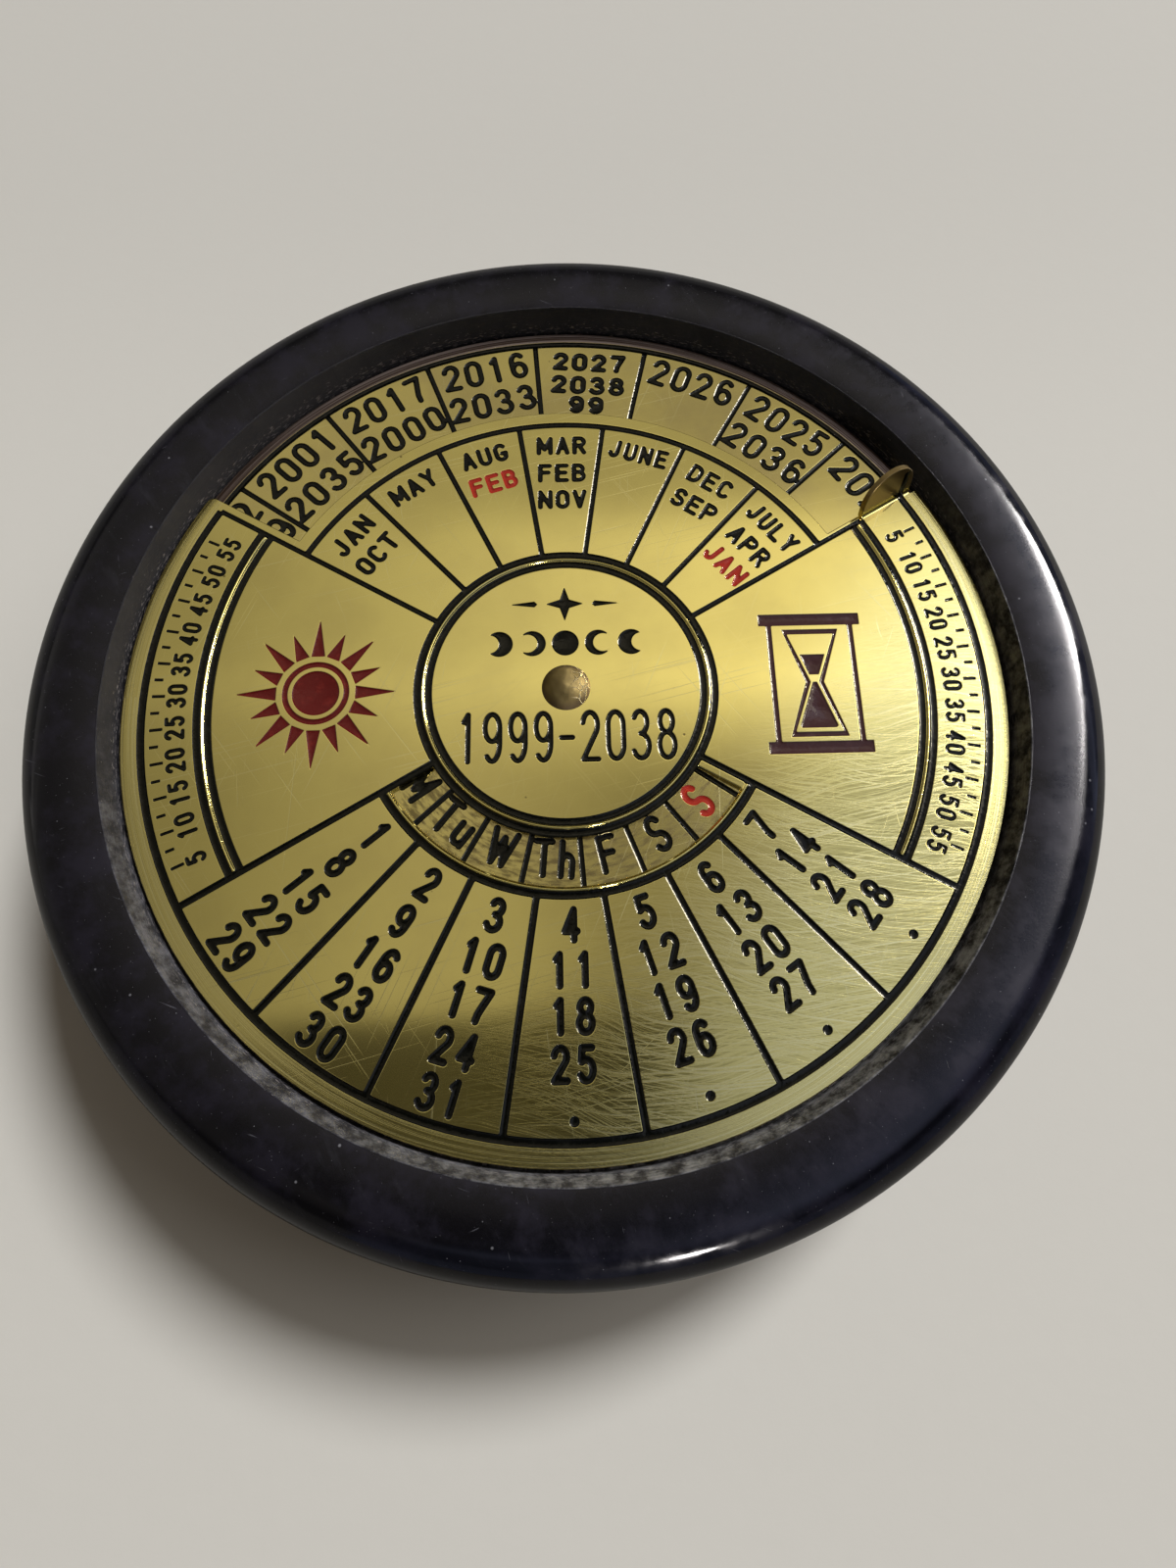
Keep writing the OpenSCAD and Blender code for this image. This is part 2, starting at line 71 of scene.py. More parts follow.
def bottom_of(node):
    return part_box(node)[0].z / MM


def reach_of(node):
    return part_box(node)[1].x / MM


def points_of(node):
    return np.array([v.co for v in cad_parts[node].data.vertices]) / MM


DISC_LOW = bottom_of("year_disc")
DISC_FACE = top_of("year_disc")
DIAL_LOW = bottom_of("dial_plate")
DIAL_FACE = DIAL_LOW + (DISC_FACE - DISC_LOW)
PLATE_R = reach_of("year_disc")
STONE_TOP = top_of("stone_base")
STONE_R = reach_of("stone_base")
CROWN_R = STONE_R - 4.2       # radius of the crown of the rim
FELT_TOP = top_of("felt_pad")
FELT_R = reach_of("felt_pad")
GLUE_LOW = bottom_of("adhesive_layer")


# ---- drafting: distances, contours and triangulated reliefs ----

class Draft:
    """A square grid that holds signed distances to outlines, negative inside them."""

    step = 0.08      # spacing of the grid
    reach = 0.44     # distances are worked out this far from an outline
    batch = 4000     # segments that are worked on at a time
    speck = 5        # a contour of no more sides than this is left out

    def __init__(self, half):
        self.n = int(2 * half / self.step) + 3
        self.low = -(self.n - 1) / 2 * self.step

    def blank(self):
        return np.full((self.n, self.n), self.reach)

    def near(self, field, starts, ends, radius=0.0):
        """Lowers the field to the distance from the segments, less a radius."""
        starts, ends = shorten(starts, ends, 4 * self.step)
        k = int((2 * self.step + self.reach + radius) / self.step) + 1
        offsets = np.arange(-k, k + 1)
        dy, dx = (a.ravel() for a in np.meshgrid(offsets, offsets, indexing="ij"))
        for first in range(0, len(starts), self.batch):
            a, b = starts[first:first + self.batch], ends[first:first + self.batch]
            home = np.rint(((a + b) / 2 - self.low) / self.step).astype(int)
            ix, iy = home[:, :1] + dx, home[:, 1:] + dy
            px, py = self.low + ix * self.step, self.low + iy * self.step
            ab = b - a
            t = (px - a[:, :1]) * ab[:, :1] + (py - a[:, 1:]) * ab[:, 1:]
            t = np.clip(t / np.maximum((ab ** 2).sum(1), 1e-12)[:, None], 0, 1)
            d = np.hypot(px - a[:, :1] - t * ab[:, :1], py - a[:, 1:] - t * ab[:, 1:]) - radius
            on = (ix >= 0) & (iy >= 0) & (ix < self.n) & (iy < self.n)
            np.minimum.at(field, (iy[on], ix[on]), d[on])

    def inside(self, loops):
        """Where the grid's points lie inside closed loops, by the even-odd rule."""
        turns = np.zeros((self.n, self.n + 1), np.int32)
        for loop in loops:
            grid = (loop - self.low) / self.step
            for (xa, ya), (xb, yb) in zip(grid, np.roll(grid, -1, axis=0)):
                rows = np.arange(math.ceil(min(ya, yb)), math.ceil(max(ya, yb)))
                if len(rows):
                    x = xa + (rows - ya) * (xb - xa) / (yb - ya)
                    np.add.at(turns, (rows, np.ceil(x).astype(int)), 1)
        return turns.cumsum(axis=1)[:, :-1] % 2 == 1

    def signed(self, loops, inside):
        """The exact signed distance to closed loops."""
        field = self.blank()
        self.near(field, np.concatenate(loops), np.concatenate([np.roll(l, -1, 0) for l in loops]))
        return np.where(inside, -field, field)

    def filled(self, loops):
        """The same, where the loops are filled by the even-odd rule."""
        return self.signed(loops, self.inside(loops))

    def contours(self, field, level, slack=0.0012):
        """Closed loops along one level of the field, with its lower side on their left."""
        f = field - level
        f[f == 0] = 1e-9
        low = (f < 0).astype(np.int64)
        case = low[:-1, :-1] + 2 * low[:-1, 1:] + 4 * low[1:, 1:] + 8 * low[1:, :-1]
        rows, cols = np.nonzero((case > 0) & (case < 15))
        here = rows * self.n + cols
        sides = np.stack([here, here + 1 + self.n ** 2, here + self.n, here + self.n ** 2])
        follow = {}
        for code in range(1, 15):
            on = case[rows, cols] == code
            for a, b in MARCH[code]:
                follow.update(zip(sides[a, on].tolist(), sides[b, on].tolist()))
        loops = []
        while follow:
            start, side = follow.popitem()
            loop = [start]
            while side != start:
                loop.append(side)
                side = follow.pop(side)
            loops.append(np.array(loop))
        return [thin_out(self.crossing(f, loop), slack) for loop in loops if len(loop) > self.speck]

    def crossing(self, f, sides):
        """The points where the field is zero on the sides of the grid's cells."""
        upright = sides >= self.n ** 2
        i, j = np.divmod(sides - upright * self.n ** 2, self.n)
        a = f[i, j]
        t = a / (a - f[i + upright, j + ~upright])
        return self.low + self.step * np.stack([j + t * ~upright, i + t * upright], 1)

    def sample(self, field, points):
        """The field at any points, between the grid's own."""
        at = np.clip((points - self.low) / self.step, 0, self.n - 1.001)
        j, i = at.astype(int).T
        u, v = (at - at.astype(int)).T
        return ((field[i, j] * (1 - u) + field[i, j + 1] * u) * (1 - v)
                + (field[i + 1, j] * (1 - u) + field[i + 1, j + 1] * u) * v)

    def slope(self, field, points):
        """The unit direction in which the field grows."""
        dx, dy = np.array([[self.step, 0], [0, self.step]])
        g = np.stack([self.sample(field, points + dx) - self.sample(field, points - dx),
                      self.sample(field, points + dy) - self.sample(field, points - dy)], 1)
        return g / np.maximum(np.hypot(*g.T), 1e-9)[:, None]


# Which sides of a grid cell a contour joins: 0 bottom, 1 right, 2 top, 3 left.
MARCH = {1: [(0, 3)], 2: [(1, 0)], 3: [(1, 3)], 4: [(2, 1)], 5: [(0, 3), (2, 1)], 6: [(2, 0)],
         7: [(2, 3)], 8: [(3, 2)], 9: [(0, 2)], 10: [(1, 0), (3, 2)], 11: [(1, 2)],
         12: [(3, 1)], 13: [(0, 1)], 14: [(3, 0)]}


def shorten(starts, ends, longest):
    """Cuts segments into equal pieces that are no longer than a limit."""
    parts = np.maximum(1, np.ceil(np.hypot(*(ends - starts).T) / longest).astype(int))
    which = np.repeat(np.arange(len(starts)), parts)
    index = np.arange(len(which)) - np.repeat(np.cumsum(parts) - parts, parts)
    first, step = starts[which], ((ends - starts) / parts[:, None])[which]
    return first + step * index[:, None], first + step * (index + 1)[:, None]


def thin_out(loop, slack, rounds=6, fewest=12, longest=3.0):
    """Drops points of a closed loop that lie within slack of the line past them. A loop of few
    points is left alone, and so is a point whose neighbours are far apart."""
    for _ in range(rounds):
        if len(loop) < fewest:
            break
        before, after = np.roll(loop, 1, 0), np.roll(loop, -1, 0)
        along = after - before
        off = np.abs(along[:, 0] * (loop - before)[:, 1] - along[:, 1] * (loop - before)[:, 0])
        off /= np.maximum(np.hypot(*along.T), 1e-9)
        odd = np.arange(len(loop)) % 2 == 1
        loop = loop[~((off < slack) & odd & (np.hypot(*along.T) < longest))]
    return loop


def triangulate(loops, lines=()):
    """A flat triangulation that keeps every closed loop and open line: points, triangles."""
    points, edges, count = [], [], 0
    for chain, closed in [(l, True) for l in loops] + [(l, False) for l in lines]:
        points.extend(Vector(p) for p in chain.tolist())
        last = len(chain) if closed else len(chain) - 1
        edges.extend((count + i, count + (i + 1) % len(chain)) for i in range(last))
        count += len(chain)
    verts, _, faces, *_ = delaunay_2d_cdt(points, edges, [], 0, 1e-5, False)
    return np.array([(v.x, v.y) for v in verts]), np.array([f for f in faces if len(f) == 3])


def solid(name, points, faces, height, low, fold=None):
    """A closed piece from flat triangles: its top follows height(points), which gives z and
    the two slopes, and its underside is flat at low. A fold bends part of it up. Returns None
    for no triangles."""
    if not len(faces):
        return None
    used, faces = np.unique(faces, return_inverse=True)
    faces = faces.reshape(-1, 3)
    points = points[used]
    a, b, c = points[faces.T]
    turn = cross(b - a, c - a)
    faces = np.where((turn > 0)[:, None], faces, faces[:, ::-1])
    z, sx, sy = height(points)
    n = len(points)
    around = np.concatenate([faces[:, [0, 1]], faces[:, [1, 2]], faces[:, [2, 0]]])
    key = around[:, 0] * n + around[:, 1]
    rim = around[~np.isin(key, around[:, 1] * n + around[:, 0])]
    creases = fold.creases(points) if fold else []
    below = np.unique(np.concatenate([rim.ravel(), *creases]))
    under = np.full(n, -1)
    under[below] = n + np.arange(len(below))
    base_faces = floor_of(points[below], under[rim] - n, [under[c] - n for c in creases])
    co = np.concatenate([np.column_stack([points, z]),
                         np.column_stack([points[below], np.full(len(below), low)])])
    walls = np.column_stack([rim[:, 1], rim[:, 0], under[rim[:, 0]], under[rim[:, 1]]])
    base_faces = base_faces[:, ::-1] + n
    top = np.column_stack([-sx, -sy, np.ones(n)])
    top /= np.linalg.norm(top, axis=1)[:, None]
    run = points[rim[:, 1]] - points[rim[:, 0]]
    side = np.column_stack([run[:, 1], -run[:, 0], np.zeros(len(run))])
    side /= np.maximum(np.linalg.norm(side, axis=1), 1e-12)[:, None]
    corners = np.concatenate([faces.ravel(), walls.ravel(), base_faces.ravel()])
    normals = np.concatenate([top[faces.ravel()], np.repeat(side, 4, axis=0),
                              np.tile((0.0, 0.0, -1.0), (base_faces.size, 1))])
    if fold:
        co, normals = fold.bend(co, corners, normals)
    mesh = smooth_mesh(name, co, faces.tolist() + walls.tolist() + base_faces.tolist())
    mesh.normals_split_custom_set(normals.tolist())
    return place(name, mesh)


def smooth_mesh(name, co, faces):
    mesh = bpy.data.meshes.new(name)
    mesh.from_pydata((co * MM).tolist(), [], faces)
    mesh.polygons.foreach_set("use_smooth", np.ones(len(faces), bool))
    return mesh


def place(name, mesh):
    piece = bpy.data.objects.new(name, mesh)
    bpy.context.scene.collection.objects.link(piece)
    return piece


def cross(a, b):
    return a[:, 0] * b[:, 1] - a[:, 1] * b[:, 0]


def floor_of(points, rim, creases):
    """Triangles that fill a flat outline: rim holds its directed sides, and creases are rows
    of points inside it that the triangles keep as sides."""
    lines = rim.tolist() + [pair for c in creases for pair in zip(c[:-1].tolist(), c[1:].tolist())]
    _, _, faces, origin, *_ = delaunay_2d_cdt(
        [Vector(p) for p in points.tolist()], lines, [], 0, 1e-7, True)
    home = [o[0] if o else -1 for o in origin]
    faces = [[home[i] for i in f] for f in faces]
    faces = [f for f in faces if len(f) == 3 and min(f) >= 0]
    owner = {(f[i - 1], f[i]): n for n, f in enumerate(faces) for i in range(3)}
    sides = {(a, b) for a, b in rim.tolist()}
    walls = sides | {(b, a) for a, b in sides}
    inside = {owner[side] for side in sides if side in owner}
    waiting = list(inside)
    while waiting:
        face = faces[waiting.pop()]
        for i in range(3):
            side = (face[i], face[i - 1])
            if side not in walls and side in owner and owner[side] not in inside:
                inside.add(owner[side])
                waiting.append(owner[side])
    return np.array([faces[n] for n in sorted(inside)], int).reshape(-1, 3)


# ---- outlines from the frame ----

def outlines(node, z):
    """The closed outlines of what a node has flat at height z."""
    spots, index = np.unique(np.round(points_of(node), 4), axis=0, return_inverse=True)
    level = np.abs(spots[:, 2] - z) < 1e-3
    edges = set()
    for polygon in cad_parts[node].data.polygons:
        ids = [int(index[v]) for v in polygon.vertices]
        if all(level[i] for i in ids):
            for a, b in zip(ids, ids[1:] + ids[:1]):
                edges ^= {(a, b)} if (b, a) not in edges else {(b, a)}
    follow = {}
    for a, b in edges:
        follow.setdefault(a, []).append(b)
    loops = []
    while follow:
        start = next(iter(follow))
        loop, at = [], start
        while at in follow:
            loop.append(at)
            onward = follow[at].pop()
            if not follow[at]:
                del follow[at]
            at = onward
        loops.append(spots[loop][:, :2])
    return loops


# ---- lettering: a condensed stroke font ----

def bow(x, y, rx, ry, start, end):
    """Points along part of an ellipse, from one angle to another."""
    steps = max(2, round(abs(end - start) / 15))
    angles = [math.radians(start + (end - start) * i / steps) for i in range(steps + 1)]
    return [(x + rx * math.cos(a), y + ry * math.sin(a)) for a in angles]


OVAL = bow(.5, .72, .5, .28, 0, 180) + bow(.5, .28, .5, .28, 180, 360) + [(1, .72)]
CUP = bow(.5, .7, .5, .3, 35, 180) + bow(.5, .3, .5, .3, 180, 325)
HEAD = [(0, 0), (0, 1), (.5, 1)] + bow(.55, .75, .45, .25, 90, -90) + [(0, .5)]
GLYPHS = {
    "0": [OVAL],
    "1": [[(.28, .84), (.52, .97), (.56, 1), (.56, 0)]],
    "2": [bow(.5, .73, .48, .27, 170, -32) + [(.02, 0), (1, 0)]],
    "3": [bow(.46, .76, .43, .24, 155, -90), bow(.46, .26, .52, .26, 90, -155)],
    "4": [[(.74, 0), (.74, 1), (.02, .28), (1, .28)]],
    "5": [[(.9, 1), (.16, 1), (.1, .58)] + bow(.46, .32, .52, .32, 128, -150)],
    "6": [bow(.52, .64, .48, .36, 45, 180) + [(.04, .3)], bow(.52, .29, .48, .29, 0, 360)],
    "7": [[(.02, 1), (1, 1)] + bow(1.5, 0, 1.1, .8, 145, 180)],
    "8": [bow(.5, .77, .42, .23, -90, 270), bow(.5, .27, .5, .27, 90, 450)],
    "9": [bow(.48, .36, .48, .36, 225, 360) + [(.96, .7)], bow(.48, .71, .48, .29, 0, 360)],
    "-": [[(0, .47), (1, .47)]],
    "A": [[(0, 0), (.5, 1), (1, 0)], [(.18, .33), (.82, .33)]],
    "B": [[(0, 0), (0, 1), (.5, 1)] + bow(.5, .77, .42, .23, 90, -90) + [(0, .53)],
          [(.5, .53)] + bow(.5, .27, .5, .27, 90, -90) + [(0, 0)]],
    "C": [CUP],
    "D": [[(0, 0), (0, 1), (.4, 1)] + bow(.42, .66, .58, .34, 90, 0)
          + bow(.42, .34, .58, .34, 0, -90) + [(0, 0)]],
    "E": [[(1, 1), (0, 1), (0, 0), (1, 0)], [(0, .52), (.85, .52)]],
    "F": [[(1, 1), (0, 1), (0, 0)], [(0, .54), (.85, .54)]],
    "G": [CUP + [(1, .42), (.6, .42)]],
    "J": [[(.85, 1), (.85, .28)] + bow(.45, .28, .4, .28, 0, -165)],
    "L": [[(0, 1), (0, 0), (1, 0)]],
    "M": [[(0, 0), (0, 1), (.5, .25), (1, 1), (1, 0)]],
    "N": [[(0, 0), (0, 1), (1, 0), (1, 1)]],
    "O": [OVAL],
    "P": [HEAD],
    "R": [HEAD, [(.5, .5), (1, 0)]],
    "S": [bow(.5, .75, .46, .25, 28, 270) + bow(.5, .25, .5, .25, 90, -152)],
    "T": [[(0, 1), (1, 1)], [(.5, 1), (.5, 0)]],
    "U": [[(0, 1), (0, .3)] + bow(.5, .3, .5, .3, 180, 360) + [(1, 1)]],
    "V": [[(0, 1), (.5, 0), (1, 1)]],
    "W": [[(0, 1), (.26, 0), (.5, .8), (.74, 0), (1, 1)]],
    "Y": [[(0, 1), (.5, .46), (1, 1)], [(.5, .46), (.5, 0)]],
    "h": [[(0, 1), (0, 0)], [(0, .4)] + bow(.5, .4, .5, .22, 180, 0) + [(1, 0)]],
    "u": [[(0, .62), (0, .22)] + bow(.5, .22, .5, .22, 180, 360) + [(1, .62), (1, 0)]],
}
WIDE = {"M": 1.25, "W": 1.7, "N": 1.05, "-": 0.72, "h": 0.8, "u": 0.85, "T": 1.1}


def write(text, r, angle, height, width, gap, inwards=False):
    """The strokes of a line of text whose middle is at radius r and a compass angle. Its tops
    point outwards, or inwards."""
    away, right = compass(angle)
    sign = -1 if inwards else 1
    widths = [width * WIDE.get(c, 1) for c in text]
    x = -(sum(widths) + gap * (len(text) - 1)) / 2
    strokes = []
    for c, w in zip(text, widths):
        for stroke in GLYPHS[c]:
            local = np.array(stroke) * (w, height) + (x, -height / 2)
            strokes.append(r * away + sign * (local[:, :1] * right + local[:, 1:] * away))
        x += w + gap
    return strokes


def compass(angle):
    """The outward direction at a compass angle, and the clockwise one."""
    turn = math.radians(angle)
    return np.array([math.sin(turn), math.cos(turn)]), np.array([math.cos(turn), -math.sin(turn)])


# ---- what the lettering says ----

MONTH_COLUMNS = [[("JAN", 0), ("OCT", 0)], [("MAY", 0)], [("AUG", 0), ("FEB", 1)],
                 [("MAR", 0), ("FEB", 0), ("NOV", 0)], [("JUNE", 0)], [("DEC", 0), ("SEP", 0)],
                 [("JULY", 0), ("APR", 0), ("JAN", 1)]]     # 1 marks the leap year's names
MONTH_ROWS = [24.6, 21.6, 18.75]             # middle radii of the rows of names
DATE_ROWS = [20.3, 23.8, 27.3, 30.8, 34.25]
LAST_DATE = 31
DAY_LETTERS = ["S", "S", "F", "Th", "W", "Tu", "M"]          # clockwise; the first is red
DAY_MIDDLE_R = 14.9
YEAR_CELLS = [["2012", "2029"], ["2023", "2034"], ["2011"], ["2004", "2021"], ["2009", "2020"],
              ["2003", "2014"], ["2002", "2019"], ["2001", "2035"], ["2017", "2000"],
              ["2016", "2033"], ["2027", "2038", "99"], ["2026"], ["2025", "2036"], ["2024"],
              ["2007", "2018"], ["2006", "2028"], ["2005", "2022"], ["2010", "2032"],
              ["2015", "2037"], ["2008", "2031"], ["2013", "2030"]]   # clockwise
FIRST_CELL = -10             # the place of the first of them, counted from the top
# The years of a cell: middle radius and height of each row, and width and gap of the numbers
TWO_YEARS = [(34.5, 2.6), (30.65, 2.45)], (1.25, 0.97)
THREE_YEARS = [(34.7, 1.62), (32.0, 1.62), (29.7, 1.5)], (1.02, 0.86)
DISC_TURN = 4.8              # degrees that the year disc's cells lie clockwise of the dial's
DATES_MIDDLE = 180
BAND_MIDDLES = (-90, 90)
BAND_STEP = 5
BAND_NUMBERS = range(5, 60, 5)
BAND_R = 33.5
RANGE_TEXT = "1999-2038"
RANGE_R = 4.44
# Height, width and gap of each other kind of letter
DATE_TYPE = (2.36, 1.0, 1.0)
MONTH_TYPE = (1.58, 0.88, 0.7)
LONG_MONTH_TYPE = (1.58, 0.78, 0.7)
DAY_TYPE = (2.8, 1.12, 0.85)
BAND_TYPE = (1.4, 0.62, 0.6)
RANGE_TYPE = (4.2, 1.3, 0.87)


def column_angle(middle, column, step=CELL_ANGLE, count=WEEKDAYS):
    """The compass angle of one of a number of columns that lie about a middle one."""
    return middle + (column - (count - 1) / 2) * step


def date_numbers():
    """The dates, a week apart down each column, from the right column to the left one."""
    strokes = []
    for column in range(WEEKDAYS):
        angle = column_angle(DATES_MIDDLE, column)
        for row, r in enumerate(DATE_ROWS):
            date = WEEKDAYS - column + row * WEEKDAYS
            if date <= LAST_DATE:
                strokes += write(str(date), r, angle, *DATE_TYPE, inwards=True)
    return strokes


def month_names(red):
    """The names of the leap year's months, or of the others."""
    strokes = []
    for column, names in enumerate(MONTH_COLUMNS):
        for (name, leap), r in zip(names, MONTH_ROWS):
            if leap == red:
                kind = MONTH_TYPE if len(name) < 4 else LONG_MONTH_TYPE
                strokes += write(name, r, column_angle(0, column), *kind)
    return strokes


def year_numbers():
    strokes = []
    for cell, years in enumerate(YEAR_CELLS, FIRST_CELL):
        angle = DISC_TURN + cell * CELL_ANGLE
        rows, kind = TWO_YEARS if len(years) < 3 else THREE_YEARS
        for year, (r, height) in zip(years, rows):
            strokes += write(year, r, angle, height, *kind)
    return strokes


def day_letters(red):
    """The weekday letters of three weeks: the first of each week, or the others."""
    strokes = []
    for cell in range(CELLS):
        if (cell % WEEKDAYS == 0) == red:
            letters = DAY_LETTERS[cell % WEEKDAYS]
            angle = column_angle(DATES_MIDDLE + DISC_TURN, cell)
            strokes += write(letters, DAY_MIDDLE_R, angle, *DAY_TYPE, inwards=True)
    return strokes


def band_numbers():
    strokes = []
    for middle in BAND_MIDDLES:
        for i, number in enumerate(BAND_NUMBERS):
            angle = column_angle(middle, i, BAND_STEP, len(BAND_NUMBERS))
            strokes += write(str(number), BAND_R, angle, *BAND_TYPE)
    return strokes


def year_range():
    return write(RANGE_TEXT, RANGE_R, DATES_MIDDLE, *RANGE_TYPE, inwards=True)


def cut(node, slot="black_enamel"):
    """An inlay that stands for a node and has its outline."""
    return node.replace("_enamel", "_inlay"), slot, [node], [], 0


def written(name, strokes, pen, slot="black_enamel"):
    """An inlay that is drawn with a pen of some width."""
    return name, slot, [], strokes, pen


# Each inlay has a name, a finish, the nodes that it stands for, its strokes and their pen's width
DISC_INLAYS = [
    *map(cut, ("disc_circle_enamel", "year_cell_enamel", "weekday_cell_enamel")),
    written("year_number_inlay", year_numbers(), 0.57),
    written("weekday_letter_inlay", day_letters(False), 0.58),
    written("red_weekday_inlay", day_letters(True), 0.58, "bright_red_enamel"),
]
DIAL_INLAYS = [
    *map(cut, ("rim_line_enamel", "date_column_enamel", "weekday_arc_enamel", "month_arc_enamel",
               "month_column_enamel", "hub_ring_enamel", "left_panel_enamel", "right_panel_enamel",
               "date_dot_enamel", "band_scale_enamel", "moon_row_enamel", "hub_star_enamel")),
    cut("sun_motif_enamel", "dark_red_enamel"),
    cut("hourglass_motif_enamel", "dark_brown_enamel"),
    cut("tab_line_enamel"),
    written("date_number_inlay", date_numbers(), 0.6),
    written("month_name_inlay", month_names(0), 0.46),
    written("red_month_inlay", month_names(1), 0.46, "bright_red_enamel"),
    written("year_range_inlay", year_range(), 0.47),
    written("band_number_inlay", band_numbers(), 0.36),
]
# The red names have a brighter finish than the slot that is named for them
RECORD_SLOT = {"bright_red_enamel": "dark_red_enamel"}


# ---- the thumb tab: part of the dial's sheet, bent up ----

def spread(node, direction, above=0.0):
    """How far a node's points above a height reach along a direction, and their top."""
    co = points_of(node)
    co = co[co[:, 2] > above]
    along = co[:, :2] @ direction
    return along.min(), along.max(), co[:, 2].max()


class TabFold:
    """Draws the tab flat, beyond the hinge line at the year window's right end, and bends it."""

    angle = math.radians(80)
    inner_r = 0.25       # inside radius of the bend
    slit = 0.16          # cut that frees the tab's inner corner
    root = 0.6           # how far the tab's flat outline runs back into the plate
    rows = 8             # creases across the bend
    crown_points = 33    # points round the tab's rounded end
    clear = 0.5          # what stands higher than this above the dial's face is the tab

    def __init__(self):
        self.out, clockwise = compass(WEEKDAYS * CELL_ANGLE / 2)
        self.window = -clockwise
        low, self.end, top = spread("dial_plate", self.out, DIAL_FACE + self.clear)
        self.start = low + self.slit
        self.sides = self.start - self.slit / 2, self.end + self.slit / 2    # where creases end
        self.lift = self.inner_r + DIAL_FACE - DIAL_LOW
        neutral_r = (self.lift + self.inner_r) / 2
        self.turn_per_mm = 1 / neutral_r
        self.arc = self.angle * neutral_r
        self.length = self.arc + self.up_sheet(top)
        self.line_in, self.line_out, line_top = spread("tab_line_enamel", self.out)
        self.line_length = self.arc + self.up_sheet(line_top)

    def up_sheet(self, z):
        """How far up the flat part of the tab's face a height lies."""
        rise = z - DIAL_LOW - self.lift + math.cos(self.angle) * self.inner_r
        return rise / math.sin(self.angle)

    def flat(self, points):
        """Plan points from distances along the hinge line and beyond it."""
        t, beyond = np.array(points).T
        return t[:, None] * self.out + beyond[:, None] * self.window

    def outline(self):
        cap = (self.end - self.start) / 2
        middle, base = self.start + cap, self.length - cap
        crown = corner(middle, base, cap, 0, 180, self.crown_points)
        return self.flat([(self.start, -self.root), (self.end, -self.root)] + crown)

    def line(self):
        """The enamel line that runs up the tab from the rim line."""
        return self.flat([(self.line_in, -self.slit), (self.line_out, -self.slit),
                          (self.line_out, self.line_length), (self.line_in, self.line_length)])

    def rows_across(self):
        """How far beyond the hinge line each crease lies."""
        step = self.arc / self.rows
        return [(i + 1) * step for i in range(self.rows)]

    def crease_lines(self):
        return [self.flat([(side, s) for side in self.sides]) for s in self.rows_across()]

    def creases(self, points):
        """Rows of the points that lie on the creases."""
        t, s = points @ self.out, points @ self.window
        rows = [np.nonzero((np.abs(s - row) < 1e-4) & self.on_tab(t, s))[0]
                for row in self.rows_across()]
        return [row[np.argsort(t[row])] for row in rows if len(row) > 1]

    def on_tab(self, t, s):
        return (s > 0) & (t > self.sides[0]) & (t < self.sides[1])

    def bend(self, co, corners, normals):
        """Takes the tab's points round the bend and up, and its normals with them."""
        t, s = co[:, :2] @ self.out, co[:, :2] @ self.window
        on = self.on_tab(t, s)
        turn = np.where(on, np.clip(s * self.turn_per_mm, 0, self.angle), 0)
        beyond = np.where(on, np.maximum(s - self.arc, 0), 0)
        reach = self.lift + DIAL_LOW - co[:, 2]
        moved = reach * np.sin(turn) + beyond * np.cos(turn)
        plan = t[:, None] * self.out + moved[:, None] * self.window
        z = DIAL_LOW + self.lift - reach * np.cos(turn) + beyond * np.sin(turn)
        bent = np.where(on[:, None], np.column_stack([plan, z]), co)
        c, r = np.cos(turn[corners]), np.sin(turn[corners])
        ns, nz = normals[:, :2] @ self.window, normals[:, 2]
        tilted = normals[:, :2] + ((ns * c - nz * r) - ns)[:, None] * self.window
        return bent, np.column_stack([tilted, ns * r + nz * c])


# ---- reliefs: a brass plate and the enamel in it ----

LIP_RINGS = (0.06, 0.025, 0.0, -0.04)         # contours that the brass keeps beside an inlay
EDGE_RINGS = (0.0, -0.03, -0.08)             # and those along its cut edges
ENAMEL_RINGS = (0.0, -0.05, -0.11, -0.18)    # contours that the enamel keeps
BEYOND = 0.5         # how far the grid reaches past a plate's edge
SEAM = 0.02          # inlays closer than twice this are joined
WALL = 0.04          # width that the side of a groove covers in plan
GROOVE = 0.25        # depth of the grooves
BEAD_HALF = 0.16     # half the width of the brass between two grooves
BEAD_REACH = 0.3     # the grooves beside a bead begin nearer than this to its middle
BEAD_SHAVE = 0.06    # how far their enamel spreads over the bead
BEAD_END = 0.5       # length over which a bead runs out at its ends
BEAD_POINTS = 1.6    # points along a bead for each degree of half its length
EDGE_DROP = 0.05     # rounding of a cut edge
EDGE_WIDTH = 0.08
LOW_EDGE = 0.01      # the enamel's edge lies this far below the brass lip


def off_angle(points, middle):
    """How many degrees each point's compass angle lies from a middle one."""
    return np.abs((np.degrees(np.arctan2(*points.T)) - middle + 180) % 360 - 180)


